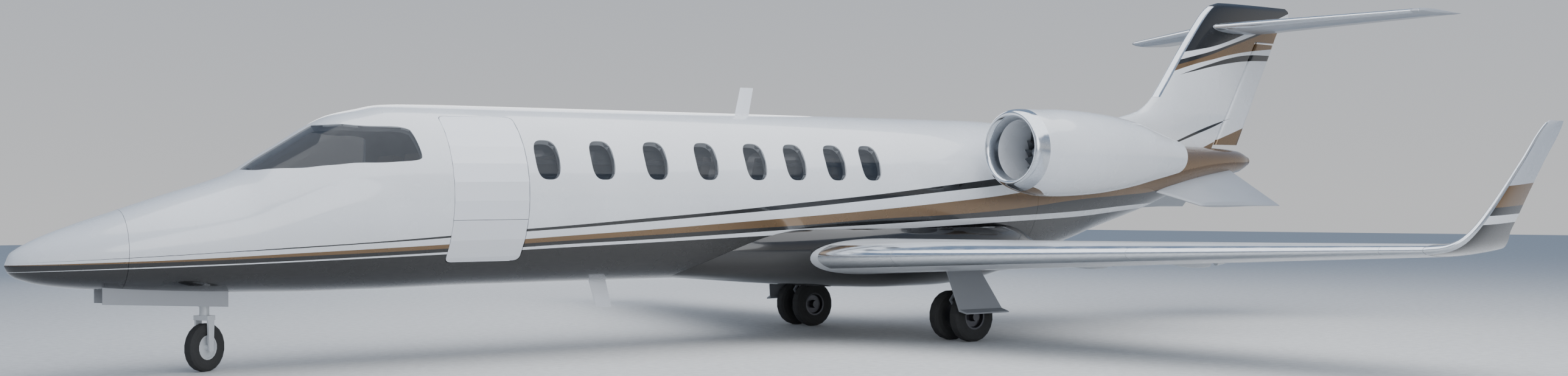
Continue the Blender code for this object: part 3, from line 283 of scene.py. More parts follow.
def sheet(columns: int, rows: int, spot: Spot) -> bpy.types.Object:
    """Carries a flat grid's points to their places.

    Args:
        columns: how many faces the grid has along its first direction.
        rows: how many along its second.
        spot: gives the place of a point from its two coordinates, each from 0 to 1.

    Returns:
        The sheet, still open and of no thickness.
    """
    piece = fresh(bpy.ops.mesh.primitive_grid_add, x_subdivisions=columns, y_subdivisions=rows, size=2.0)
    for vertex in piece.data.vertices:
        vertex.co = spot((vertex.co.x + 1) / 2, (vertex.co.y + 1) / 2)
    return piece


def tube_loft(columns: int, rows: int, spot: Spot, caps: bool = True) -> bpy.types.Object:
    """A closed body skinned round its first coordinate and along its second."""
    return seal(sheet(columns, rows, spot), caps)


def turned(profile: Sequence[Pair], centre: Vector, axis: str, steps: int = 48) -> bpy.types.Object:
    """Spins a closed profile of (along, radius) points about an axis.

    Args:
        profile: the section, a loop; points at radius 0 lie on the axis.
        centre: where the profile's 0 lies.
        axis: X, Y or Z.
        steps: how many faces go round.

    Returns:
        The turned body, closed, with its faces pointing out.
    """
    piece = fresh(bpy.ops.mesh.primitive_circle_add, vertices=len(profile), fill_type="NOTHING")
    for vertex, (distance, radius) in zip(piece.data.vertices, profile):
        vertex.co = (distance, 0, radius)
    with editing(piece):
        bpy.ops.mesh.spin(steps=steps, angle=2 * pi, center=(0, 0, 0), axis=(1, 0, 0))
        bpy.ops.mesh.select_all(action="SELECT")
        bpy.ops.mesh.remove_doubles(threshold=0.00002)
        bpy.ops.mesh.select_all(action="SELECT")
        bpy.ops.mesh.normals_make_consistent(inside=False)
    way = {"X": Matrix.Identity(4), "Y": Matrix.Rotation(pi / 2, 4, "Z"), "Z": Matrix.Rotation(-pi / 2, 4, "Y")}[axis]
    piece.data.transform(Matrix.Translation(centre) @ way)
    return piece


def rod(start: Vector, end: Vector, radius: float, end_radius: float | None = None, facets: int = 20,
        edge: float = 0.0) -> bpy.types.Object:
    """A round bar from one point to another, its ends a little rounded if an edge width is given."""
    start, end = Vector(start), Vector(end)
    run = end - start
    piece = fresh(bpy.ops.mesh.primitive_cone_add, vertices=facets, radius1=radius,
                  radius2=radius if end_radius is None else end_radius, depth=run.length)
    if edge:
        soften(piece, edge)
    piece.data.transform(Matrix.Translation((start + end) / 2) @ run.to_track_quat("Z", "Y").to_matrix().to_4x4())
    return piece


def block(low: Sequence[float], high: Sequence[float], edge: float = 0.004, segments: int = 2) -> bpy.types.Object:
    """A machined block between two corners, its edges eased."""
    low, high = Vector(low), Vector(high)
    piece = fresh(bpy.ops.mesh.primitive_cube_add, size=1.0)
    size = high - low
    piece.data.transform(Matrix.Translation((low + high) / 2) @ Matrix.Diagonal((*size, 1)))
    return soften(piece, edge, segments) if edge else piece


def pipe(points: Sequence[Vector], radius: float, sides: int = 3) -> bpy.types.Object:
    """A hose or wire that runs smoothly through its points."""
    piece = fresh(bpy.ops.curve.primitive_nurbs_path_add)
    curve = piece.data
    curve.splines.clear()
    spline = curve.splines.new("BEZIER")
    spline.bezier_points.add(len(points) - 1)
    for knot, point in zip(spline.bezier_points, points):
        knot.co = point
        knot.handle_left_type = knot.handle_right_type = "AUTO"
    curve.dimensions = "3D"
    curve.bevel_depth = radius
    curve.bevel_resolution = sides
    curve.resolution_u = 8
    curve.use_fill_caps = True
    pick(piece)
    bpy.ops.object.convert(target="MESH")
    return seal(bpy.context.object)


def plate(outline: Sequence[Pair], spot: Callable[[float, float], Vector], depth: Vector,
          edge: float = 0.0) -> bpy.types.Object:
    """Cuts a plate to an outline and gives it its depth.

    Args:
        outline: the plate's shape, in its own two coordinates.
        spot: carries a point of the outline to its place.
        depth: how far and which way the plate is thick.
        edge: the width of its eased edges.
    """
    piece = fresh(bpy.ops.mesh.primitive_circle_add, vertices=len(outline), fill_type="NGON")
    for vertex, point in zip(piece.data.vertices, outline):
        vertex.co = spot(*point)
    with editing(piece):
        bpy.ops.mesh.extrude_region_move(TRANSFORM_OT_translate={"value": depth})
        bpy.ops.mesh.select_all(action="SELECT")
        bpy.ops.mesh.normals_make_consistent(inside=False)
    return soften(piece, edge) if edge else piece


def scatter(template: bpy.types.Object, places: Sequence[Matrix]) -> bpy.types.Object:
    """Copies one small part to many places, all in one mesh, and clears the first away."""
    points = [v.co.copy() for v in template.data.vertices]
    faces = [tuple(f.vertices) for f in template.data.polygons]
    count = len(points)
    mesh = bpy.data.meshes.new("scattered")
    mesh.from_pydata([m @ p for m in places for p in points], [],
                     [tuple(i + k * count for i in f) for k in range(len(places)) for f in faces])
    bpy.data.objects.remove(template)
    piece = bpy.data.objects.new("scattered", mesh)
    bpy.context.scene.collection.objects.link(piece)
    return piece


def upright(spot: Vector, out: Vector) -> Matrix:
    """The place of a small part that stands on a surface and faces out of it."""
    return Matrix.Translation(spot) @ out.to_track_quat("Z", "Y").to_matrix().to_4x4()


# Finishes


def linear(colour: str) -> tuple[float, float, float, float]:
    """Turns an sRGB hex value into linear light."""
    values = []
    for k in (1, 3, 5):
        c = int(colour[k:k + 2], 16) / 255
        values.append(c / 12.92 if c <= 0.04045 else ((c + 0.055) / 1.055) ** 2.4)
    return (*values, 1.0)


class Graph:
    """A material's shader tree, built a node at a time."""

    def __init__(self, name: str) -> None:
        """Starts a material of that name with its shader."""
        self.material = bpy.data.materials.new(name)
        self.material.use_nodes = True
        self.tree = self.material.node_tree
        self.shader = self.tree.nodes["Principled BSDF"]
        self.spot = self.add("ShaderNodeTexCoord", {}, out="Object")

    def add(self, kind: str, links: dict, out: int | str = 0, **settings) -> bpy.types.NodeSocket:
        """Adds a node.

        Args:
            kind: the node's type.
            links: for each of its inputs, a constant or the socket that feeds it.
            out: which output to hand back.
            **settings: the node's own properties.
        """
        node = self.tree.nodes.new(kind)
        for name, value in settings.items():
            setattr(node, name, value)
        for key, value in links.items():
            self.feed(node.inputs[key], value)
        return node.outputs[out]

    def feed(self, socket: bpy.types.NodeSocket, value: object) -> None:
        """Links a socket to another, or sets its constant."""
        if isinstance(value, bpy.types.NodeSocket):
            self.tree.links.new(value, socket)
        else:
            socket.default_value = value

    def dress(self, **values: object) -> bpy.types.Material:
        """Sets the shader's sockets, their names written with underscores, and hands back the material."""
        for name, value in values.items():
            self.feed(self.shader.inputs[name.replace("_", " ")], value)
        return self.material

    def blur(self, size_mm: float, detail: float = 3.0, stretch: Sequence[float] = (1, 1, 1)) -> bpy.types.NodeSocket:
        """A soft mottle from 0 to 1 whose patches measure so many millimetres."""
        spot = self.add("ShaderNodeMapping", {0: self.spot, 3: tuple(stretch)})
        return self.add("ShaderNodeTexNoise", {"Vector": spot, "Scale": 1000 / size_mm, "Detail": detail})

    def spread(self, value: bpy.types.NodeSocket, low: float, high: float) -> bpy.types.NodeSocket:
        """Carries a mottle's middle range to run from low to high."""
        return self.add("ShaderNodeMapRange", {0: value, 1: 0.3, 2: 0.7, 3: low, 4: high})

    def blend(self, mask: object, first: object, second: object) -> bpy.types.NodeSocket:
        """The first colour, with the second where the mask is 1."""
        return self.add("ShaderNodeMix", {0: mask, 6: first, 7: second}, out=2, data_type="RGBA")

    def relief(self, height: bpy.types.NodeSocket, depth_mm: float, strength: float = 1.0) -> bpy.types.NodeSocket:
        """Bumps of a real depth."""
        return self.add("ShaderNodeBump", {"Height": height, "Distance": depth_mm / 1000, "Strength": strength})


FINISHED: dict[str, bpy.types.Material] = {}


@dataclass(frozen=True)
class Finish:
    """What a surface is made of; each kind says how it is built."""

    name: str
    colour: str

    def build(self, graph: Graph) -> bpy.types.Material:
        """Builds the shader; each finish has its own."""
        raise NotImplementedError

    def material(self) -> bpy.types.Material:
        """The finish's material, built once."""
        if self.name not in FINISHED:
            FINISHED[self.name] = self.build(Graph(self.name))
        return FINISHED[self.name]


@dataclass(frozen=True)
class Band:
    """A painted band: its colour, and the line of (station, height) that it starts below."""

    colour: str
    line: tuple[Pair, ...]


@dataclass(frozen=True)
class PolyurethaneEnamel(Finish):
    """Polyurethane enamel, sprayed and clear coated: deep gloss with a faint ripple in its reflections."""

    bands: tuple[Band, ...] = ()
    flake: str = ""
    roughness: float = 0.26
    coat: float = 1.0
    base_metal: float = 0.0
    height_span: float = 5.0
    station_span: float = 20.0

    def below(self, graph: Graph, station: object, height: object, line: Sequence[Pair]) -> bpy.types.NodeSocket:
        """A mask that is 1 below a line across the aircraft's side."""
        curve = graph.add("ShaderNodeFloatCurve", {"Value": station})
        mapping = curve.node.mapping
        mapping.extend = "EXTRAPOLATED"
        points = mapping.curves[0].points
        marks = [(x / self.station_span, z / self.height_span) for x, z in line]
        points[0].location, points[1].location = marks[0], marks[-1]
        for mark in marks[1:-1]:
            points.new(*mark)
        mapping.update()
        return graph.add("ShaderNodeMath", {0: height, 1: curve}, operation="LESS_THAN")

    def build(self, graph: Graph) -> bpy.types.Material:
        """Lays the bands over the ground colour, each from its line downwards."""
        parts = graph.add("ShaderNodeSeparateXYZ", {0: graph.spot}).node
        station = graph.add("ShaderNodeMath", {0: parts.outputs[0], 1: MIDDLE}, operation="ADD")
        station = graph.add("ShaderNodeMath", {0: station, 1: self.station_span}, operation="DIVIDE")
        height = graph.add("ShaderNodeMath", {0: parts.outputs[2], 1: self.height_span}, operation="DIVIDE")
        mottle = graph.blur(700, 2.0)
        shade = graph.spread(mottle, 0.94, 1.0)
        colour, metal = linear(self.colour), self.base_metal
        for band in self.bands:
            mask = self.below(graph, station, height, band.line)
            colour = graph.blend(mask, colour, linear(band.colour))
            metal = graph.add("ShaderNodeMix", {0: mask, 2: metal, 3: 0.55 if band.colour == self.flake else 0.0})
        colour = graph.add("ShaderNodeMix", {0: 1.0, 6: colour, 7: shade}, out=2, data_type="RGBA", blend_type="MULTIPLY")
        rough = graph.spread(graph.blur(260, 4.0), self.roughness - 0.04, self.roughness + 0.05)
        ripple = graph.relief(graph.blur(9, 1.0), 0.02)
        return graph.dress(Base_Color=colour, Metallic=metal, Roughness=rough, Normal=ripple,
                           Coat_Weight=self.coat, Coat_Roughness=0.06)


@dataclass(frozen=True)
class PolishedAluminium(Finish):
    """Aluminium polished to a mirror, with fine polishing lines along the span and a few dull patches."""

    roughness: float = 0.13

    def build(self, graph: Graph) -> bpy.types.Material:
        """Keeps the reflections sharp and breaks them up with a shallow ripple."""
        lines = graph.blur(14, 3.0, (1, 0.05, 1))
        dull = graph.spread(graph.blur(180, 4.0), self.roughness - 0.04, self.roughness + 0.09)
        colour = graph.blend(graph.spread(lines, 0.0, 0.5), linear(self.colour), linear("#B9BEC4"))
        return graph.dress(Base_Color=colour, Metallic=1.0, Roughness=dull, Normal=graph.relief(lines, 0.03))


@dataclass(frozen=True)
class GearEnamel(Finish):
    """Epoxy enamel on forged and machined gear parts: satin, chipped a little to bare metal on its edges."""

    roughness: float = 0.42
    metal: float = 0.25

    def build(self, graph: Graph) -> bpy.types.Material:
        """Mixes grime and wear into the enamel."""
        grime = graph.spread(graph.blur(70, 6.0), 0.0, 1.0)
        edge = graph.add("ShaderNodeNewGeometry", {}, out="Pointiness")
        wear = graph.add("ShaderNodeMapRange", {0: edge, 1: 0.53, 2: 0.60, 3: 0.0, 4: 0.5})
        colour = graph.blend(grime, linear(self.colour), tuple(c * 0.62 for c in linear(self.colour)[:3]) + (1.0,))
        colour = graph.blend(wear, colour, linear("#A9ABAD"))
        rough = graph.spread(graph.blur(30, 4.0), self.roughness - 0.1, self.roughness + 0.14)
        return graph.dress(Base_Color=colour, Metallic=self.metal, Roughness=rough,
                           Normal=graph.relief(graph.blur(2.5, 2.0), 0.05))


@dataclass(frozen=True)
class ChromedSteel(Finish):
    """Hard chromed steel, ground and polished: the bright sliding tube of an oleo strut."""

    roughness: float = 0.09

    def build(self, graph: Graph) -> bpy.types.Material:
        """A clean mirror with a trace of oil."""
        rough = graph.spread(graph.blur(25, 3.0), self.roughness - 0.03, self.roughness + 0.12)
        return graph.dress(Base_Color=linear(self.colour), Metallic=1.0, Roughness=rough)


@dataclass(frozen=True)
class TyreRubber(Finish):
    """Vulcanised natural rubber: near black, matt, with dust in its fine moulding lines."""

    def build(self, graph: Graph) -> bpy.types.Material:
        """Dusts the rubber a little and roughens it."""
        dust = graph.spread(graph.blur(45, 6.0), 0.0, 0.7)
        colour = graph.blend(dust, linear(self.colour), linear("#38373A"))
        rough = graph.spread(graph.blur(18, 4.0), 0.62, 0.86)
        return graph.dress(Base_Color=colour, Roughness=rough, Normal=graph.relief(graph.blur(3.0, 3.0), 0.12),
                           Specular_IOR_Level=0.35)


@dataclass(frozen=True)
class TintedAcrylic(Finish):
    """Stretched acrylic, tinted: clear enough to show what lies close behind, with a sharp reflection."""

    clear: float = 0.75

    def build(self, graph: Graph) -> bpy.types.Material:
        """Lets light through and keeps the surface glossy, with a trace of wipe marks."""
        rough = graph.spread(graph.blur(120, 5.0), 0.02, 0.07)
        return graph.dress(Base_Color=linear(self.colour), Roughness=rough, IOR=1.49, Transmission_Weight=self.clear,
                           Coat_Weight=0.6, Coat_Roughness=0.03)


@dataclass(frozen=True)
class LampLens(Finish):
    """Cast acrylic lens over a lamp, deep in colour."""

    def build(self, graph: Graph) -> bpy.types.Material:
        """Ribs the lens finely inside and keeps it shiny."""
        ribs = graph.add("ShaderNodeTexWave", {"Vector": graph.spot, "Scale": 60.0}, out=1)
        colour = graph.blend(ribs, linear(self.colour), tuple(c * 0.6 for c in linear(self.colour)[:3]) + (1.0,))
        return graph.dress(Base_Color=colour, Roughness=0.08, IOR=1.49, Transmission_Weight=0.35, Coat_Weight=1.0)


@dataclass(frozen=True)
class MouldedPlastic(Finish):
    """Moulded plastic or composite with a fine grain, painted or left in its own colour."""

    roughness: float = 0.5
    grain_mm: float = 2.0

    def build(self, graph: Graph) -> bpy.types.Material:
        """Grains the surface and shades it a little."""
        shade = graph.spread(graph.blur(90, 4.0), 0.0, 0.5)
        colour = graph.blend(shade, linear(self.colour), tuple(c * 0.7 for c in linear(self.colour)[:3]) + (1.0,))
        rough = graph.spread(graph.blur(20, 4.0), self.roughness - 0.08, self.roughness + 0.1)
        return graph.dress(Base_Color=colour, Roughness=rough,
                           Normal=graph.relief(graph.blur(self.grain_mm, 2.0), 0.08))


@dataclass(frozen=True)
class HeatedAlloy(Finish):
    """Nickel alloy of a hot nozzle: brown and blue heat tints over satin metal, sooty inside."""

    roughness: float = 0.38

    def build(self, graph: Graph) -> bpy.types.Material:
        """Stains the metal in soft bands."""
        tint = graph.spread(graph.blur(130, 4.0, (0.4, 1, 1)), 0.0, 1.0)
        colour = graph.blend(tint, linear(self.colour), linear("#4A3F38"))
        soot = graph.spread(graph.blur(50, 6.0), 0.0, 0.4)
        colour = graph.blend(soot, colour, linear("#1B1A1A"))
        rough = graph.spread(graph.blur(35, 4.0), self.roughness - 0.1, self.roughness + 0.15)
        return graph.dress(Base_Color=colour, Metallic=0.9, Roughness=rough)


@dataclass(frozen=True)
class SatinTitanium(Finish):
    """Machined titanium: satin grey metal with fine cutter marks round the axis."""

    roughness: float = 0.32

    def build(self, graph: Graph) -> bpy.types.Material:
        """Lines the metal finely."""
        marks = graph.blur(6, 3.0, (6, 1, 1))
        rough = graph.spread(graph.blur(40, 3.0), self.roughness - 0.08, self.roughness + 0.1)
        colour = graph.blend(graph.spread(marks, 0.0, 0.4), linear(self.colour), linear("#6E7073"))
        return graph.dress(Base_Color=colour, Metallic=0.95, Roughness=rough, Normal=graph.relief(marks, 0.03))


@dataclass(frozen=True)
class GrainedLeather(Finish):
    """Upholstery leather: soft sheen, fine pebbled grain with creases."""

    grain_mm: float = 3.0

    def build(self, graph: Graph) -> bpy.types.Material:
        """Pebbles the leather with cells; real grain is near 1 mm, drawn coarser so that it shows."""
        cells = graph.add("ShaderNodeTexVoronoi", {"Vector": graph.spot, "Scale": 1000 / self.grain_mm})
        worn = graph.spread(graph.blur(160, 4.0), 0.0, 0.6)
        colour = graph.blend(worn, linear(self.colour), tuple(c * 0.75 for c in linear(self.colour)[:3]) + (1.0,))
        rough = graph.spread(graph.blur(60, 3.0), 0.42, 0.60)
        return graph.dress(Base_Color=colour, Roughness=rough, Normal=graph.relief(cells, 0.25), Sheen_Weight=0.15)


@dataclass(frozen=True)
class CutPileCarpet(Finish):
    """Cut pile wool carpet: matt, its tufts about 3 mm across."""

    def build(self, graph: Graph) -> bpy.types.Material:
        """Speckles the pile and raises it."""
        tufts = graph.add("ShaderNodeTexVoronoi", {"Vector": graph.spot, "Scale": 330.0})
        fleck = graph.spread(graph.blur(6, 3.0), 0.0, 1.0)
        colour = graph.blend(fleck, linear(self.colour), linear("#5E564D"))
        return graph.dress(Base_Color=colour, Roughness=0.95, Normal=graph.relief(tufts, 1.5), Sheen_Weight=0.3)


WHITE = "#E6E9ED"
BLACK = "#0A0A0C"
GOLD = "#7B5F3E"

UPPER_LINE_TOP = (
    (0.0, 1.04), (1.29, 1.095), (1.70, 1.115), (2.36, 1.148), (3.04, 1.181), (3.63, 1.218), (4.38, 1.271),
    (5.18, 1.321), (6.01, 1.380), (6.90, 1.442), (8.00, 1.533), (9.0, 1.617), (10.09, 1.727), (11.10, 1.830),
    (12.0, 1.95), (12.8, 2.15), (13.4, 2.45), (13.8, 2.70),
)
UPPER_LINE_FOOT = (
    (0.0, 1.04), (1.29, 1.090), (1.70, 1.110), (2.36, 1.137), (3.04, 1.170), (3.63, 1.200), (4.38, 1.248),
    (5.18, 1.291), (6.01, 1.343), (6.90, 1.404), (8.00, 1.480), (9.0, 1.562), (10.09, 1.657), (11.10, 1.745),
    (12.0, 1.87), (12.8, 2.09), (13.4, 2.42), (13.8, 2.69),
)
GOLD_TOP = (
    (0.0, 1.025), (0.89, 1.043), (1.29, 1.052), (1.71, 1.066), (2.36, 1.092), (3.05, 1.118), (3.65, 1.142),
    (4.40, 1.176), (5.20, 1.218), (6.04, 1.262), (6.92, 1.314), (8.02, 1.381), (9.02, 1.447), (10.08, 1.531),
    (11.09, 1.621), (12.0, 1.74), (12.8, 1.97), (13.3, 2.27), (13.7, 2.60),
)
GOLD_FOOT = (
    (0.0, 1.02), (1.29, 1.035), (2.37, 1.063), (3.30, 1.090), (4.41, 1.134), (5.21, 1.169), (6.05, 1.205),
    (6.94, 1.244), (8.04, 1.289), (9.04, 1.345), (10.11, 1.384), (11.11, 1.441), (12.47, 1.561), (13.23, 1.605),
    (14.0, 1.66), (14.48, 1.758), (15.74, 1.895), (15.92, 1.93), (16.4, 2.02),
)
PIN_TOP = (
    (0.0, 0.965), (0.70, 0.982), (1.30, 0.997), (2.15, 1.017), (3.31, 1.055), (4.42, 1.098), (5.22, 1.132),
    (6.07, 1.161), (6.95, 1.198), (8.05, 1.249), (9.06, 1.284), (10.13, 1.328), (11.13, 1.362), (11.80, 1.385),
    (12.53, 1.417), (13.33, 1.467), (14.0, 1.50), (14.6, 1.52),
)
PIN_FOOT = (
    (0.0, 0.962), (0.70, 0.976), (1.30, 0.986), (2.15, 1.006), (3.31, 1.038), (4.42, 1.074), (5.22, 1.101),
    (6.07, 1.129), (6.95, 1.159), (8.05, 1.195), (9.06, 1.222), (10.13, 1.257), (11.13, 1.296), (11.80, 1.319),
    (12.53, 1.349), (13.33, 1.404), (14.0, 1.45), (14.6, 1.50),
)
BODY_BANDS = (
    Band(BLACK, UPPER_LINE_TOP), Band(WHITE, UPPER_LINE_FOOT), Band(GOLD, GOLD_TOP), Band(BLACK, GOLD_FOOT),
    Band(WHITE, PIN_TOP), Band(BLACK, PIN_FOOT),
)
FIN_BANDS = (
    Band(WHITE, ((14.0, 3.30), (14.975, 3.534), (15.232, 3.579), (15.533, 3.633), (15.889, 3.728), (16.199, 3.828),
                 (17.3, 4.20))),
    Band(BLACK, ((14.0, 3.20), (14.911, 3.431), (15.232, 3.505), (15.532, 3.575), (15.889, 3.676), (16.251, 3.779),
                 (17.3, 4.10))),
    Band(GOLD, ((14.0, 3.10), (14.847, 3.355), (15.231, 3.451), (15.532, 3.531), (15.888, 3.642), (16.303, 3.765),
                (17.3, 4.06))),
    Band(WHITE, ((14.0, 2.98), (14.778, 3.266), (15.231, 3.394), (15.531, 3.457), (15.888, 3.533), (16.302, 3.599),
                 (16.697, 3.644), (17.3, 3.70))),
    Band(BLACK, ((14.0, 2.80), (14.875, 3.219), (15.23, 3.326), (15.531, 3.406), (15.887, 3.489), (16.301, 3.551),
                 (16.697, 3.568), (17.3, 3.58))),
    Band(WHITE, ((14.0, 2.80), (14.875, 3.219), (15.23, 3.300), (15.531, 3.362), (15.887, 3.420), (16.301, 3.468),
                 (16.697, 3.488), (17.3, 3.51))),
    Band(BLACK, ((12.5, 1.60), (14.76, 2.320), (15.211, 2.468), (15.613, 2.584), (15.93, 2.659), (17.3, 2.95))),
    Band(WHITE, ((12.5, 1.58), (14.76, 2.293), (15.211, 2.428), (15.613, 2.550), (15.93, 2.657), (17.3, 2.95))),
    Band(GOLD, ((12.5, 1.30), (15.384, 2.262), (15.713, 2.375), (16.072, 2.484), (17.3, 2.86))),
)
WINGLET_BANDS = (
    Band(GOLD, ((9.5, 1.58), (10.2, 1.61), (10.9, 1.66), (11.5, 1.70))),
    Band(BLACK, ((9.5, 1.41), (10.2, 1.44), (10.9, 1.48), (11.5, 1.52))),
    Band(WHITE, ((9.5, 1.35), (10.2, 1.375), (10.9, 1.405), (11.5, 1.43))),
    Band(BLACK, ((9.5, 1.28), (10.2, 1.305), (10.9, 1.338), (11.5, 1.36))),
)
NACELLE_BANDS = (
    Band(GOLD, ((10.3, 1.77), (10.60, 1.690), (10.737, 1.647), (10.872, 1.600), (11.2, 1.590), (11.545, 1.603),
                (12.078, 1.676), (12.669, 1.750), (13.126, 1.856), (13.3, 1.89))),
)

BODY_ENAMEL = PolyurethaneEnamel("polyurethane_enamel_body", WHITE, BODY_BANDS, GOLD)
FIN_ENAMEL = PolyurethaneEnamel("polyurethane_enamel_fin", BLACK, FIN_BANDS, GOLD)
WINGLET_ENAMEL = PolyurethaneEnamel("polyurethane_enamel_winglet", "#B9BEC6", WINGLET_BANDS, GOLD)
NACELLE_ENAMEL = PolyurethaneEnamel("polyurethane_enamel_nacelle", WHITE, NACELLE_BANDS, GOLD)
BELLY_ENAMEL = PolyurethaneEnamel("polyurethane_enamel_belly", BLACK, roughness=0.20)
WING_ENAMEL = PolyurethaneEnamel("polyurethane_enamel_wing", "#C3C7CC", roughness=0.34, coat=0.5)
TAIL_ENAMEL = PolyurethaneEnamel("polyurethane_enamel_tail", "#A7ABB1", roughness=0.36, coat=0.4)
DOOR_FRAME_ENAMEL = PolyurethaneEnamel("polyurethane_enamel_door_band", "#1D1815", roughness=0.3)
FRAME_ENAMEL = PolyurethaneEnamel("polyurethane_enamel_windshield_frame", "#AEB3C2", roughness=0.34, coat=0.5)
GEAR_DOOR_ENAMEL = PolyurethaneEnamel("polyurethane_enamel_gear_door", "#7B7D80", roughness=0.42, coat=0.2)
NOSE_DOOR_ENAMEL = PolyurethaneEnamel("polyurethane_enamel_nose_door", "#33363D", roughness=0.36, coat=0.4)
POLISHED = PolishedAluminium("polished_aluminium", "#DDE1E6")
SEALANT = MouldedPlastic("nitrile_rubber_seal", "#101113", 0.55)
LINING = MouldedPlastic("cabin_lining_composite", "#B4B0A8", 0.6)
WELL_PRIMER = GearEnamel("epoxy_primer_well", "#7E8388", 0.55, 0.1)
PANE = TintedAcrylic("stretched_acrylic_windshield", "#8E99A3", 0.85)
CABIN_PANE = TintedAcrylic("stretched_acrylic_cabin", "#3C4753", 0.45)
DUCT = MouldedPlastic("acoustic_liner_composite", "#2B2D30", 0.5, 4.0)
NOZZLE = HeatedAlloy("nickel_alloy_nozzle", "#77706B")
FAN_METAL = SatinTitanium("satin_titanium_fan", "#8C9095")
FIXINGS = ChromedSteel("stainless_steel_fixings", "#C6C8CB", 0.22)


def settle(piece: bpy.types.Object, name: str, body: str, finish: Finish | Sequence[Finish],
           replaces: Sequence[str] = (), smooth_angle: float = 32.0) -> bpy.types.Object:
    """Names a finished piece, paints it, and fixes it to its body.

    Args:
        piece: the piece, in its place.
        name: its name.
        body: the moving body that it rides on.
        finish: its finish, or its finishes in the order of its material indices.
        replaces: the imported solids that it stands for.
        smooth_angle: the edge angle above which it is shaded sharp.

    Returns:
        The piece.
    """
    piece.name = name
    piece.data.name = name
    piece.data.materials.clear()
    for each in finish if isinstance(finish, (list, tuple)) else (finish,):
        piece.data.materials.append(each.material())
    pick(piece)
    bpy.ops.object.transform_apply(location=True, rotation=True, scale=True)
    bpy.ops.object.shade_smooth_by_angle(angle=radians(smooth_angle))
    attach(piece, body)
    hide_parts(*replaces)
    LOG.info("%s rides on %s, %d faces", name, body, len(piece.data.polygons))
    return piece


def settle_pair(piece: bpy.types.Object, stem: str, body: str, finish: Finish | Sequence[Finish],
                replaces: Sequence[str] = (), smooth_angle: float = 32.0) -> None:
    """Settles a port piece and its starboard copy; a star in a body or node name stands for the side."""
    twin = across(piece)
    for each, side in ((piece, Side.PORT), (twin, Side.STARBOARD)):
        settle(each, f"{stem}_{side.label}", body.replace("*", side.label), finish,
               [node.replace("*", side.label) for node in replaces], smooth_angle)


# Fuselage


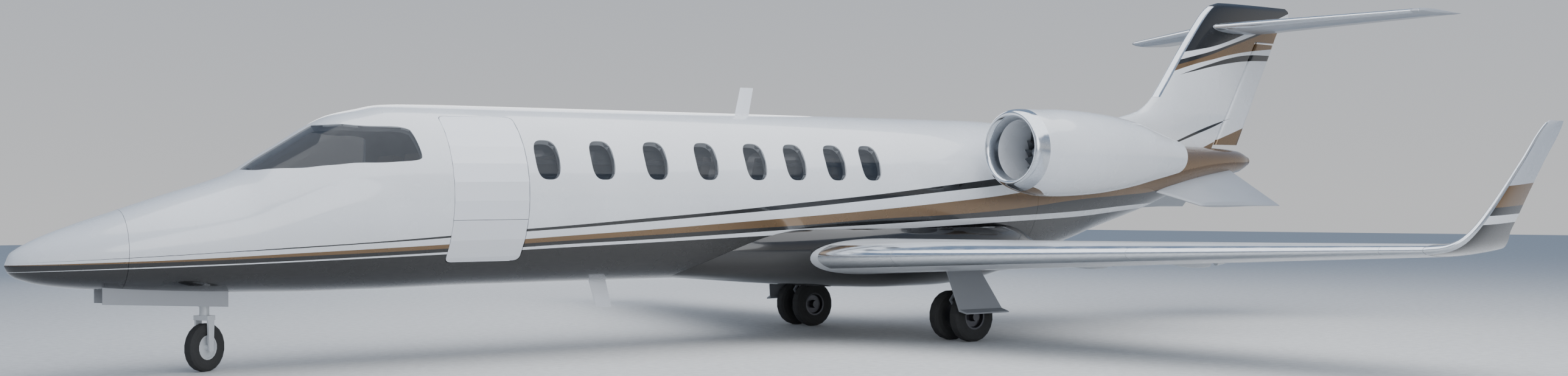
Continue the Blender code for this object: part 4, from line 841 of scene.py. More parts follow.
@dataclass
class Fuselage:
    """The fuselage's skins, split at the real seams, with their openings."""

    crown: tuple[Pair, ...] = (
        (0.00, 1.050), (0.03, 1.121), (0.08, 1.160), (0.15, 1.203), (0.24, 1.250), (0.47, 1.343),
        (0.89, 1.486), (1.32, 1.627), (1.77, 1.767), (2.00, 1.853), (2.23, 1.998), (2.47, 2.139),
        (2.71, 2.289), (2.95, 2.405), (3.20, 2.464), (3.45, 2.513), (3.71, 2.525), (4.30, 2.530),
        (11.0, 2.527), (11.6, 2.508), (12.5, 2.470), (13.5, 2.400), (14.885, 2.279), (15.607, 2.256),
        (16.10, 2.219), (16.30, 2.148),
    )
    keel: tuple[Pair, ...] = (
        (0.00, 0.980), (0.03, 0.940), (0.08, 0.907), (0.15, 0.882), (0.24, 0.854), (0.47, 0.815),
        (0.89, 0.775), (1.32, 0.748), (1.77, 0.728), (2.23, 0.719), (2.71, 0.711), (3.45, 0.712),
        (4.30, 0.724), (10.0, 0.730), (10.8, 0.735), (11.5, 0.790), (12.2, 0.920), (12.7, 1.040),
        (13.15, 1.176), (14.05, 1.418), (15.215, 1.776), (15.703, 1.865), (16.10, 1.925), (16.30, 2.014),
    )
    half_width: tuple[Pair, ...] = (
        (0.00, 0.035), (0.03, 0.092), (0.08, 0.140), (0.15, 0.190), (0.24, 0.238), (0.47, 0.330),
        (0.89, 0.455), (1.32, 0.550), (1.77, 0.630), (2.23, 0.700), (2.71, 0.765), (3.20, 0.820),
        (3.71, 0.852), (4.30, 0.870), (10.0, 0.870), (10.6, 0.845), (11.2, 0.795), (12.0, 0.710),
        (13.0, 0.595), (14.0, 0.465), (15.0, 0.335), (15.7, 0.235), (16.1, 0.150), (16.30, 0.070),
    )
    radome_seam: float = 0.95
    tail_seam: float = 11.60
    tail_end: float = 16.30
    seam_gap: float = 0.003
    wall: float = 0.068
    well: tuple[float, float, float, float] = (0.78, 1.93, 0.150, 1.02)
    windows: tuple[float, ...] = (4.913, 5.538, 6.167, 6.789, 7.411, 7.937, 8.481, 8.974)
    window_half: Pair = (0.135, 0.2135)
    window_middle: float = 22.95
    window_power: float = 3.0
    door: Pair = (3.885, 4.685)
    door_angles: tuple[float, float, float] = (-46.3, -15.6, 58.6)
    door_corner: float = 0.06
    door_gap: float = 0.006
    pane_forward: tuple[Pair, ...] = (
        (21.5, 3.31), (24.0, 2.985), (31.0, 2.69), (38.0, 2.49), (46.0, 2.34), (53.0, 2.23), (61.0, 2.135),
        (72.0, 2.07), (84.5, 2.03),
    )
    pane_aft: tuple[Pair, ...] = (
        (84.5, 2.73), (72.0, 2.79), (61.0, 2.95), (53.0, 3.14), (46.0, 3.53), (38.0, 3.565), (31.0, 3.585),
        (24.0, 3.60), (21.5, 3.59),
    )
    sections: dict = field(default_factory=dict)

    def section(self, x: float) -> tuple[float, float, float]:
        """Half width, half height and middle height at a station."""
        key = round(x, 5)
        if key not in self.sections:
            top, bottom = smooth(self.crown, x), smooth(self.keel, x)
            self.sections[key] = (smooth(self.half_width, x), (top - bottom) / 2, (top + bottom) / 2)
        return self.sections[key]

    def spot(self, x: float, angle: float, grow: float = 0.0) -> Vector:
        """A point of the skin: 0 degrees is the port waist, 90 the crown and -90 the keel."""
        ends = ((0.0, -0.010), (self.tail_end, self.tail_end + 0.045))
        rim, tip = ends[0] if x < 1.0 else ends[1]
        past = (x - rim) / (tip - rim)
        shrink = sqrt(max(0.0, 1 - past * past)) if past > 0 else 1.0
        a, b, z = self.section(x)
        a, b = (a + grow) * shrink, (b + grow) * shrink
        return place(x, -a * cos(radians(angle)), z + b * sin(radians(angle)))

    def arc_spot(self, x: float, arc: float, grow: float = 0.0) -> Vector:
        """A point of the skin whose angle is given as a length round the cabin."""
        return self.spot(x, arc / SKIN_ARC, grow)

    def out(self, x: float, arc: float) -> Vector:
        """The skin's outward direction."""
        here = self.arc_spot(x, arc)
        along = self.arc_spot(x + 0.01, arc) - self.arc_spot(x - 0.01, arc)
        round_ = self.arc_spot(x, arc + 0.01) - self.arc_spot(x, arc - 0.01)
        way = along.cross(round_).normalized()
        middle = place(x, 0, self.section(x)[2])
        return way if way.dot(here - middle) > 0 else -way

    def panel(self, outline: Sequence[Pair], holes: Sequence[Sequence[Pair]], stations: Sequence[float],
              arcs: Sequence[float], grow: float = 0.0) -> bpy.types.Object:
        """Cuts a skin panel flat, with its holes, and rolls it to the fuselage's sections.

        Args:
            outline: the panel's edge, in stations and arc lengths.
            holes: the openings' edges.
            stations: the lines of its net along the aircraft.
            arcs: the lines of its net round the aircraft.
            grow: how far the panel stands out of the skin.

        Returns:
            The panel, of no thickness, facing out.
        """
        net = np.array([(x, s) for x in stations for s in arcs])
        kept = inside(net, offset(anticlockwise(outline), -0.012))
        for hole in holes:
            kept &= ~inside(net, offset(anticlockwise(hole), 0.012))
        points = [Vector(p) for p in net[kept]]
        edges = []
        for loop in (outline, *holes):
            first = len(points)
            points += [Vector(p) for p in loop]
            edges += [(first + k, first + (k + 1) % len(loop)) for k in range(len(loop))]
        flat, _, faces, *_ = delaunay_2d_cdt(points, edges, [], 0, 1e-6)
        middles = np.array([sum((flat[i] for i in f), Vector((0, 0))) / len(f) for f in faces])
        good = inside(middles, outline)
        for hole in holes:
            good &= ~inside(middles, hole)
        mesh = bpy.data.meshes.new("panel")
        mesh.from_pydata([self.arc_spot(p.x, p.y, grow) for p in flat], [],
                         [tuple(f) for f, keep in zip(faces, good) if keep])
        piece = bpy.data.objects.new("panel", mesh)
        bpy.context.scene.collection.objects.link(piece)
        with editing(piece):
            bpy.ops.mesh.delete_loose()
            bpy.ops.mesh.select_all(action="SELECT")
            bpy.ops.mesh.remove_doubles(threshold=0.00002)
            bpy.ops.mesh.select_all(action="SELECT")
            bpy.ops.mesh.normals_make_consistent(inside=False)
        face = piece.data.polygons[len(piece.data.polygons) // 2]
        middle = place(face.center.x + MIDDLE, 0, self.section(face.center.x + MIDDLE)[2])
        if face.normal.dot(face.center - middle) < 0:
            piece.data.flip_normals()
        return piece

    def patch(self, outline: Sequence[Pair], grow: float = 0.0, step: float = 0.05) -> bpy.types.Object:
        """A small panel with no holes, its net as fine as a step."""
        xs, ys = [p[0] for p in outline], [p[1] for p in outline]
        return self.panel(outline, (), spaced(min(xs), max(xs), step), spaced(min(ys), max(ys), step), grow)

    def moulding(self, path: Sequence[Pair], section: Sequence[Pair], closed: bool = True) -> bpy.types.Object:
        """A strip that follows a path on the skin.

        Args:
            path: its line, in stations and arc lengths, anticlockwise where it closes.
            section: its section as a loop of (out from the path, out of the skin) points.
            closed: whether the path joins its own start.
        """
        lines = [offset(path, distance, closed) for distance, _ in section]
        count = len(path)
        wide = len(section)

        def spot(u: float, v: float) -> Vector:
            """Places one point of the strip."""
            k = round(u * count if closed else u * (count - 1)) % count
            j = round(v * wide) % wide
            return self.arc_spot(*lines[j][k], section[j][1])

        return seal(sheet(count if closed else count - 1, wide, spot), not closed)

    def round_section(self, half: float, height: float, steps: int = 6, sink: float = 0.002) -> list[Pair]:
        """A strip's section: a low round bead."""
        bead = [(half * cos(pi * k / steps), height * sin(pi * k / steps)) for k in range(steps + 1)]
        return bead + [(-half, -sink), (half, -sink)]

    def flat_section(self, inner: float, outer: float, height: float, sink: float = 0.002,
                     ease: float = 0.001) -> list[Pair]:
        """A strip's section: flat, with its upper edges eased."""
        return [(outer, -sink), (outer, height - ease), (outer - ease, height), (inner + ease, height),
                (inner, height - ease), (inner, -sink)]

    def window_outline(self, x: float, side: Side, grow: float = 0.0, count: int = 44) -> list[Pair]:
        """A cabin window's edge."""
        half = (self.window_half[0] + grow, self.window_half[1] + grow)
        return self.on_side(squared_oval((x, self.window_middle * SKIN_ARC), half, self.window_power, count), side)

    def on_side(self, outline: Sequence[Pair], side: Side) -> list[Pair]:
        """The outline, carried to starboard where asked."""
        if side is Side.PORT:
            return anticlockwise(outline)
        return anticlockwise([(x, -180 * SKIN_ARC - s) for x, s in outline])

    def pane_outline(self, side: Side) -> list[Pair]:
        """The windshield pane's edge, its corners rounded."""
        line = [(smooth(self.pane_forward, a), a) for a in spaced(21.5, 84.5, 5.0)]
        back = sorted(self.pane_aft)
        line += [(smooth(back, a), a) for a in reversed(spaced(21.5, 84.5, 5.0))]
        return self.on_side(rounded([(x, a * SKIN_ARC) for x, a in line], 2), side)

    def door_outline(self, low: float, high: float, shrink: float, rounds: str) -> list[Pair]:
        """A door leaf's edge between two skin angles, its corners rounded at the ends named."""
        x0, x1 = self.door[0] + shrink, self.door[1] - shrink
        s0, s1 = low * SKIN_ARC + shrink, high * SKIN_ARC - shrink
        outline = []
        for x, s, start, end in ((x1, s1, 0, "high"), (x0, s1, 90, "high"), (x0, s0, 180, "low"), (x1, s0, 270, "low")):
            if end not in rounds:
                outline.append((x, s))
                continue
            centre = (x - self.door_corner if x == x1 else x + self.door_corner,
                      s - self.door_corner if s == s1 else s + self.door_corner)
            for k in range(7):
                a = radians(start + 15 * k)
                outline.append((centre[0] + self.door_corner * cos(a), centre[1] + self.door_corner * sin(a)))
        return outline

    def dense(self, outline: Sequence[Pair], step: float = 0.06) -> list[Pair]:
        """The outline with points added along its long sides."""
        points = []
        for a, b in zip(outline, list(outline[1:]) + [outline[0]]):
            count = max(1, round(hypot(b[0] - a[0], b[1] - a[1]) / step))
            points += [(between(a[0], b[0], k / count), between(a[1], b[1], k / count)) for k in range(count)]
        return points

    def well_outline(self, forward: float, aft: float) -> list[Pair]:
        """The nose wheel well's edge across the keel, between two stations."""
        half = self.well[2]
        port, starboard = [], []
        for x in spaced(forward, aft, 0.05):
            reach = degrees(asin(half / self.section(x)[0]))
            port.append((x, (-90 + reach) * SKIN_ARC))
            starboard.append((x, (-90 - reach) * SKIN_ARC))
        return anticlockwise(port + list(reversed(starboard)))

    def rectangle(self, forward: float, aft: float, stations: Sequence[float]) -> list[Pair]:
        """The whole skin's edge between two stations, its seam along the crown."""
        arcs = [a * SKIN_ARC for a in spaced(-270, 90, 3.75)]
        inner = [x for x in stations if forward < x < aft]
        return ([(forward, s) for s in reversed(arcs)] + [(x, arcs[0]) for x in inner]
                + [(aft, s) for s in arcs] + [(x, arcs[-1]) for x in reversed(inner)])

    def build_skins(self) -> None:
        """Radome, cabin skin and tail cone."""
        arcs = [a * SKIN_ARC for a in spaced(-270, 90, 3.75)]
        nose = [-0.0098, -0.008, -0.004] + [0.947 * (k / 22) ** 1.7 for k in range(23)]
        radome = self.panel(self.rectangle(nose[0], nose[-1], nose), [self.well_outline(self.well[0], nose[-1])],
                            nose, arcs)
        thicken(radome, 0.008, material_offset=1, material_offset_rim=1)
        settle(radome, "radome_skin", "airframe", (BODY_ENAMEL, WELL_PRIMER), ["radome"])

        stations = spaced(self.radome_seam, 4.3, 0.06) + spaced(4.3, self.tail_seam - self.seam_gap, 0.12)[1:]
        holes = [self.well_outline(self.radome_seam, self.well[1])]
        holes.append(self.dense(self.door_outline(self.door_angles[0], self.door_angles[2], 0.0, "low high")))
        for side in Side:
            holes.append(self.pane_outline(side))
            holes += [self.window_outline(x, side) for x in self.windows]
        edge = self.rectangle(stations[0], stations[-1], stations)
        cabin = self.panel(edge, holes, stations, arcs)
        thicken(cabin, self.wall, material_offset=1, material_offset_rim=1)
        settle(cabin, "cabin_skin", "airframe", (BODY_ENAMEL, LINING), ["fuselage"])

        stations = spaced(self.tail_seam, self.tail_end, 0.10)
        stations += [self.tail_end + d for d in (0.012, 0.024, 0.034, 0.041, 0.0449)]
        tail = self.panel(self.rectangle(stations[0], stations[-1], stations), [], stations, arcs)
        with editing(tail):
            bpy.ops.mesh.fill_holes(sides=0)
        settle(tail, "tail_cone_skin", "airframe", BODY_ENAMEL, ["tail_section"])

    def build_well(self) -> None:
        """The nose wheel well's box, with its stiffening ribs."""
        x0, x1, half, top = self.well
        corners = round_box((x0, -half), (x1, half), 0.02, 3)
        path = self.dense(corners, 0.06)

        def spot(u: float, v: float) -> Vector:
            """Places a point of the box's wall or roof."""
            x, y = path[round(u * len(path)) % len(path)]
            if v > 0.8:
                return place((x0 + x1) / 2, 0, top)
            a, b, z = self.section(x)
            foot = z - b * sqrt(1 - (y / a) ** 2)
            return place(x, y, between(foot + 0.001, top, v / 0.75))

        box = seal(sheet(len(path), 4, spot), False)
        thicken(box, 0.004, 1.0)
        ribs = [block(place(x - 0.004, -half, top - 0.05), place(x + 0.004, half, top - 0.001), 0.002)
                for x in spaced(x0 + 0.12, x1 - 0.12, 0.18)]
        settle(join_up([box] + ribs), "nose_well_box", "airframe", WELL_PRIMER)

    def build_bulkheads(self) -> None:
        """The cabin's end walls."""
        for name, x in (("forward_bulkhead", 2.12), ("aft_bulkhead", 11.30)):
            outline = [(-(self.section(x)[0] - 0.03) * cos(radians(a)), self.section(x)[2]
                        + (self.section(x)[1] - 0.03) * sin(radians(a))) for a in range(0, 360, 10)]
            wall = plate(outline, lambda y, z, x=x: place(x, y, z), Vector((0.012, 0, 0)), 0.002)
            settle(wall, name, "airframe", LINING)

    def build(self) -> None:
        """Builds the shells and what closes them."""
        self.build_skins()
        self.build_well()
        self.build_bulkheads()


# Wings and tail


def foil_half(s: float) -> float:
    """Half thickness of the section at a fraction of its chord, for a thickness of one chord."""
    return 5 * (0.2969 * sqrt(s) - 0.1260 * s - 0.3516 * s ** 2 + 0.2843 * s ** 3 - 0.1021 * s ** 4)


@dataclass
class Chord:
    """One section of a lifting surface: its edges, its thickness and which way is up."""

    le: Vector
    te: Vector
    thick: float
    up: Vector

    def length(self) -> float:
        """The section's chord."""
        return (self.te - self.le).length

    def spot(self, t: float, grow: float = 0.0) -> Vector:
        """A point round the section, from the trailing edge over the top to it again."""
        s = (1 + cos(2 * pi * t)) / 2
        side = 1 if t < 0.5 else -1
        half = foil_half(s) * self.thick * self.length() + 0.002 * s + grow
        nose = (self.te - self.le).normalized() * (-grow * (1 - s) if grow else 0.0)
        return self.le.lerp(self.te, s) + self.up * (side * half if 0 < s else 0.0) + nose

    def surface_spot(self, t: float, hinge: float) -> Vector:
        """A point round a control surface's section, whose nose is round about its hinge."""
        chord = self.length()
        along = (self.te - self.le).normalized()
        radius = foil_half(hinge) * self.thick * chord - 0.001
        centre = self.le.lerp(self.te, hinge)
        flank = 0.36
        if flank <= t <= 1 - flank:
            a = pi / 2 + pi * (t - flank) / (1 - 2 * flank)
            return centre + along * (radius * cos(a)) + self.up * (radius * sin(a))
        share = t / flank if t < flank else (1 - t) / flank
        s = between(1.0, hinge, share)
        side = 1 if t < 0.5 else -1
        return self.le.lerp(self.te, s) + self.up * side * (foil_half(s) * self.thick * chord + 0.002 * s - 0.001)


Line = Callable[[float], Chord]


def lifting_body(line: Line, start: float, end: float, rows: int, columns: int = 64,
                 grow: float = 0.0) -> bpy.types.Object:
    """Skins a line of sections from one mark to another."""
    chords = [line(between(start, end, k / rows)) for k in range(rows + 1)]
    return tube_loft(columns, rows, lambda u, v: chords[round(v * rows)].spot(u % 1.0, grow))


def nose_strip(line: Line, start: float, end: float, rows: int, depth: float = 0.06) -> bpy.types.Object:
    """A polished leading edge skin over the front of a line of sections."""
    reach = acos(1 - 2 * depth) / (2 * pi)
    chords = [line(between(start, end, k / rows)) for k in range(rows + 1)]
    strip = sheet(20, rows, lambda u, v: chords[round(v * rows)].spot(0.5 + reach * (2 * u - 1) + 1e-6, 0.0004))
    seal(strip, False)
    face = strip.data.polygons[0]
    middle = chords[0].le.lerp(chords[0].te, 0.3)
    if face.normal.dot(face.center - middle) < 0:
        strip.data.flip_normals()
    return thicken(strip, 0.0014, 1.0)


def control_surface(line: Line, span: Pair, hinge_at: Callable[[float], float], rows: int,
                    spread: Callable[[Chord, float], float]) -> bpy.types.Object:
    """Skins a control surface between two marks of its line.

    Args:
        line: the surface's parent line.
        span: where it starts and ends.
        hinge_at: the hinge's station at a mark.
        rows: how many strips it is made of.
        spread: turns a section and a hinge station into a fraction of the chord.
    """
    marks = [between(*span, k / rows) for k in range(rows + 1)]
    chords = [line(m) for m in marks]
    parts = [spread(c, hinge_at(m)) for c, m in zip(chords, marks)]
    return tube_loft(50, rows, lambda u, v: chords[round(v * rows)].surface_spot(u % 1.0, parts[round(v * rows)]))


@dataclass
class Wing:
    """A wing with its winglet, flap, aileron, track fairings and polished leading edge."""

    root_y: float = 0.70
    tip_y: float = 6.75
    le_root: float = 8.056
    le_y: float = 0.851
    sweep: float = 0.3087
    te: Pair = (10.99, 10.86)
    z: float = 0.940
    dihedral: float = 0.0265
    wash: float = -0.02
    thick: Pair = (0.135, 0.110)
    winglet: tuple = (
        (6.75, 1.096, 9.877, 10.860, 0.104), (6.88, 1.112, 9.925, 10.790, 0.092), (6.98, 1.160, 9.985, 10.690, 0.080),
        (7.05, 1.260, 10.075, 10.620, 0.070), (7.12, 1.450, 10.215, 10.660, 0.055), (7.21, 1.800, 10.465, 10.800, 0.040),
        (7.285, 2.130, 10.705, 10.960, 0.026), (7.29, 2.157, 10.760, 10.965, 0.014),
    )
    flap: tuple[float, float, float, float] = (1.06, 4.52, 10.36, 10.48)
    aileron: tuple[float, float, float, float] = (4.60, 6.42, 10.50, 10.60)
    gap: float = 0.006
    tracks: tuple[float, ...] = (1.60, 2.94, 4.20)

    def line(self, y: float) -> Chord:
        """The port wing's section at a distance from the middle."""
        t = (y - self.le_y) / (self.tip_y - self.le_y)
        z = self.z + self.dihedral * (y - self.le_y)
        le = place(self.le_root + self.sweep * (y - self.le_y), -y, z)
        te = place(between(*self.te, t), -y, z + self.wash)
        return Chord(le, te, between(*self.thick, t), Vector((0, 0, 1)))

    def winglet_line(self, t: float) -> Chord:
        """The winglet's section at a share of the way up it."""
        marks = [0.0]
        for a, b in zip(self.winglet, self.winglet[1:]):
            marks.append(marks[-1] + hypot(b[0] - a[0], b[1] - a[1]))
        table = [(m / marks[-1], *row) for m, row in zip(marks, self.winglet)]
        y, z, le, te, thick = row_at(table, t)
        before, after = row_at(table, max(t - 0.01, 0)), row_at(table, min(t + 0.01, 1))
        run = Vector((0, -(after[0] - before[0]), after[1] - before[1])).normalized()
        up = Vector((0, run.z, -run.y)).lerp(Vector((0, 0, 1)), max(0.0, 1 - t / 0.05)).normalized()
        wash = self.wash * max(0.0, 1 - t / 0.2)
        return Chord(place(le, -y, z), place(te, -y, z + wash), thick / (te - le), up)

    def hinge_x(self, bay: Sequence[float], y: float) -> float:
        """The hinge line's station."""
        return between(bay[2], bay[3], (y - bay[0]) / (bay[1] - bay[0]))

    def share(self, chord: Chord, x: float) -> float:
        """A station as a fraction of a section's chord."""
        return (x - MIDDLE - chord.le.x) / (chord.te.x - chord.le.x)

    def bay_tool(self, bay: Sequence[float]) -> bpy.types.Object:
        """The space where a flap or an aileron moves."""
        outline = []
        for y in (bay[0] - self.gap, bay[1] + self.gap):
            chord = self.line(y)
            radius = foil_half(self.share(chord, self.hinge_x(bay, y))) * chord.thick * chord.length()
            outline.append((self.hinge_x(bay, y) - radius - self.gap, -y))
        outline += [(11.5, -bay[1] - self.gap), (11.5, -bay[0] + self.gap)]
        return plate(outline, lambda x, y: place(x, y, 0.5), Vector((0, 0, 1.1)))

    def track(self, y: float, start: Pair, end: Pair, depth: float = 0.075, width: float = 0.045) -> bpy.types.Object:
        """Half of a canoe fairing below the flap's hinge, its ends drawn out to points."""
        chord = self.line(y)

        def spot(u: float, v: float) -> Vector:
            """Places a point of the canoe."""
            x = between(start[0], end[0], v)
            half = between(start[1], end[1], sin(v * pi / 2) if start[1] < end[1] else 1 - cos(v * pi / 2))
            s = min((x - MIDDLE - chord.le.x) / (chord.te.x - chord.le.x), 0.97)
            under = between(chord.le.z, chord.te.z, s) - foil_half(s) * chord.thick * chord.length()
            a = pi * min(u / 0.85, 1.0)
            if u > 0.85:
                return place(x, -y + width * half * between(-1, 1, (u - 0.85) / 0.15), under + 0.02)
            return place(x, -y + width * half * cos(a), under + 0.02 - (depth * half + 0.02) * sin(a) ** 0.8)

        return tube_loft(20, 14, spot)

    def build(self) -> None:
        """Builds the port wing and mirrors each piece."""
        wing = lifting_body(self.line, self.root_y, self.tip_y, 24)
        saw(wing, self.bay_tool(self.flap))
        saw(wing, self.bay_tool(self.aileron))
        front = [self.track(y, (self.hinge_x(self.flap, y) - 0.62, 0.02), (self.hinge_x(self.flap, y) - 0.075, 1.0))
                 for y in self.tracks]
        settle_pair(join_up([wing] + front), "wing_skin", "airframe", WING_ENAMEL, ["wing_*"])
        seams = (0.98, 1.86, 4.30, 6.42, 6.75)
        strips = [nose_strip(self.line, a + 0.0015, b - 0.0015, 12) for a, b in zip(seams, seams[1:])]
        strips.append(nose_strip(self.winglet_line, 0.002, 0.985, 40, 0.07))
        settle_pair(join_up(strips), "wing_leading_edge", "airframe", POLISHED)
        winglet = lifting_body(self.winglet_line, 0.0004, 1.0, 48)
        settle_pair(winglet, "winglet_skin", "airframe", WINGLET_ENAMEL, ["winglet_*"])
        for stem, bay in (("flap", self.flap), ("aileron", self.aileron)):
            surface = control_surface(self.line, bay[:2], lambda y, bay=bay: self.hinge_x(bay, y), 10, self.share)
            pieces = [surface]
            for y, way in ((bay[0], -1), (bay[1], 1)):
                ends = []
                for d in (-0.03, self.gap - 0.0004):
                    chord = self.line(y + way * d)
                    ends.append(chord.le.lerp(chord.te, self.share(chord, self.hinge_x(bay, y + way * d))))
                pieces.append(rod(*ends, 0.008, facets=12))
            if stem == "flap":
                pieces += [self.track(y, (self.hinge_x(bay, y) + 0.03, 1.0), (self.hinge_x(bay, y) + 0.56, 0.03))
                           for y in self.tracks]
            settle_pair(join_up(pieces), f"{stem}_skin", f"{stem}_*", WING_ENAMEL, [f"{stem}_*"])


@dataclass
class BellyFairing:
    """The glossy fairing that wraps the wing's root under the fuselage."""

    rows: tuple = (
        (6.50, 0.34, 0.750), (6.90, 0.52, 0.722), (7.30, 0.68, 0.688), (7.80, 0.84, 0.645), (8.40, 0.94, 0.600),
        (9.00, 0.98, 0.562), (9.60, 0.99, 0.538), (10.2, 0.99, 0.538), (10.7, 0.94, 0.575), (11.2, 0.80, 0.650),
        (11.6, 0.60, 0.750), (11.9, 0.42, 0.845),
    )
    centre: float = 1.02
    top: float = 1.24

    def build(self, fuselage: Fuselage) -> None:
        """Lofts the fairing and cuts it to the fuselage."""
        stations = spaced(6.50, 11.90, 0.12)
        table = [(x, *row_at(self.rows, x)) for x in stations]

        def spot(u: float, v: float) -> Vector:
            """Places a point of the fairing."""
            x, half, keel = table[round(v * (len(table) - 1))]
            c, s = cos(2 * pi * u), sin(2 * pi * u)
            y = half * abs(c) ** 0.8 * (1 if c >= 0 else -1)
            z = self.centre + (self.centre - keel) * abs(s) ** 0.8 * (1 if s >= 0 else -1)
            return place(x, y, min(z, self.top))

        fairing = tube_loft(80, len(table) - 1, spot)
        core = tube_loft(96, 60, lambda u, v: fuselage.spot(between(6.2, 12.3, v), 360 * u, 0.0005))
        saw(fairing, core)
        settle(fairing, "belly_fairing_skin", "airframe", BELLY_ENAMEL, ["belly_fairing"])


@dataclass
class Tail:
    """Fin, rudder, tailplane, elevators and ventral fins."""

    fin: tuple = (
        (2.05, 12.60, 15.99, 0.115), (2.42, 12.90, 16.20, 0.110), (2.55, 13.42, 16.27, 0.108), (2.634, 13.80, 16.31, 0.105),
        (2.725, 14.16, 16.37, 0.103), (2.882, 14.40, 16.45, 0.100), (3.03, 14.53, 16.53, 0.098), (3.58, 14.97, 16.84, 0.090),
        (3.93, 15.27, 17.03, 0.085), (4.10, 15.43, 17.24, 0.083), (4.20, 15.57, 17.25, 0.075), (4.25, 15.74, 17.18, 0.040),
    )
    rudder_z: Pair = (2.30, 3.72)
    rudder_hinge: Pair = (15.690, 0.600)
    rudder_gap: float = 0.024
    half_span: float = 2.363
    root: tuple[float, float, float] = (15.522, 16.865, 3.905)
    tip: tuple[float, float, float] = (16.687, 17.566, 3.951)
    thick: Pair = (0.105, 0.095)
    elevator_y: Pair = (0.165, 2.28)
    elevator_chord: float = 0.30
    elevator_gap: float = 0.013
    ventral_root: tuple = ((13.95, 0.27, 1.70), (15.75, 0.16, 1.96))
    ventral_tip: tuple = ((14.42, 0.80, 1.467), (15.98, 0.80, 1.458))

    def fin_line(self, z: float) -> Chord:
        """The fin's section at a height."""
        le, te, half = row_at(self.fin, z)
        return Chord(place(le, 0, z), place(te, 0, z), 2 * half / (te - le), Vector((0, 1, 0)))

    def hinge_x(self, z: float) -> float:
        """The rudder hinge's station at a height."""
        return self.rudder_hinge[0] + self.rudder_hinge[1] * (z - self.rudder_z[0])

    def tail_line(self, y: float) -> Chord:
        """The tailplane's section at a distance to port."""
        t = abs(y) / self.half_span
        start = place(between(self.root[0], self.tip[0], t), -y, between(self.root[2], self.tip[2], t))
        end = place(between(self.root[1], self.tip[1], t), -y, between(self.root[2] - 0.02, self.tip[2], t))
        past = max(0.0, (abs(y) - self.half_span + 0.06) / 0.06)
        slim = sqrt(max(0.0, 1 - past * past * 0.93))
        start += Vector((0.07 * past * past, 0, 0))
        return Chord(start, end, between(*self.thick, t) * slim, Vector((0, 0, 1)))

    def share(self, chord: Chord, x: float) -> float:
        """A station as a fraction of a section's chord."""
        return (x - MIDDLE - chord.le.x) / (chord.te.x - chord.le.x)

    def build_fin(self) -> None:
        """The fin with its dorsal fillet, and the rudder."""
        heights = spaced(2.05, 4.16, 0.045) + [4.18, 4.20, 4.22, 4.235, 4.245, 4.25]
        chords = [self.fin_line(z) for z in heights]
        last = len(heights) - 1
        fin = tube_loft(72, last, lambda u, v: chords[round(v * last)].spot(u % 1.0))
        outline = []
        for z in (1.9, self.rudder_z[1] + self.rudder_gap):
            half = row_at(self.fin, z)[2]
            outline.append((self.hinge_x(z) - half * 0.86 - 0.006, z))
        outline += [(17.9, self.rudder_z[1] + self.rudder_gap), (17.9, 1.9)]
        saw(fin, plate(outline, lambda x, z: place(x, -0.3, z), Vector((0, 0.6, 0))))
        settle(fin, "fin_skin", "airframe", FIN_ENAMEL, ["fin"])

        edge = nose_strip(self.fin_line, 2.92, 4.19, 30, 0.045)
        settle(edge, "fin_leading_edge", "airframe", POLISHED)

        rudder = control_surface(self.fin_line, self.rudder_z, self.hinge_x, 16, self.share)
        top = self.rudder_z[1]
        low, high = top - 0.03, top + self.rudder_gap - 0.0004
        pin = rod(place(self.hinge_x(low), 0, low), place(self.hinge_x(high), 0, high), 0.008, facets=12)
        settle(join_up([rudder, pin]), "rudder_skin", "rudder", FIN_ENAMEL, ["rudder"])

    def build_tailplane(self) -> None:
        """The tailplane, its polished leading edges, and the elevators."""
        marks = spaced(-self.half_span, -self.half_span + 0.06, 0.008) + spaced(-self.half_span + 0.06,
                                                                                  self.half_span - 0.06, 0.12)[1:]
        marks += spaced(self.half_span - 0.06, self.half_span, 0.008)[1:]
        chords = [self.tail_line(y) for y in marks]
        last = len(marks) - 1
        tailplane = tube_loft(64, last, lambda u, v: chords[round(v * last)].spot(u % 1.0))
        low, high = self.elevator_y
        for side in Side:
            outline = []
            for y in (low - self.elevator_gap, high + self.elevator_gap):
                chord = self.tail_line(min(y, self.half_span - 0.06))
                radius = foil_half(1 - self.elevator_chord) * chord.thick * chord.length()
                chord = self.tail_line(y)
                x = between(chord.le.x, chord.te.x, 1 - self.elevator_chord) + MIDDLE
                outline.append((x - radius - 0.006, side.value * y))
            outline += [(18.0, side.value * (high + self.elevator_gap)), (18.0, side.value * (low - self.elevator_gap))]
            saw(tailplane, plate(outline, lambda x, y: place(x, y, 3.6), Vector((0, 0, 0.6))))
        settle(tailplane, "tailplane_skin", "airframe", TAIL_ENAMEL, ["tailplane"])
        edge = nose_strip(self.tail_line, 0.10, self.half_span - 0.03, 24, 0.055)
        settle_pair(edge, "tailplane_leading_edge", "airframe", POLISHED)

        hinge = 1 - self.elevator_chord

        def hinge_at(y: float) -> float:
            """The elevator hinge's station."""
            chord = self.tail_line(y)
            return between(chord.le.x, chord.te.x, hinge) + MIDDLE

        elevator = control_surface(self.tail_line, self.elevator_y, hinge_at, 12, self.share)
        pins = []
        for y, way in ((low, -1), (high, 1)):
            ends = []
            for d in (-0.03, self.elevator_gap - 0.0004):
                chord = self.tail_line(y + way * d)
                ends.append(chord.le.lerp(chord.te, hinge))
            pins.append(rod(*ends, 0.007, facets=12))
        settle_pair(join_up([elevator] + pins), "elevator_skin", "elevator_*", TAIL_ENAMEL,
                    ["elevator_*"])

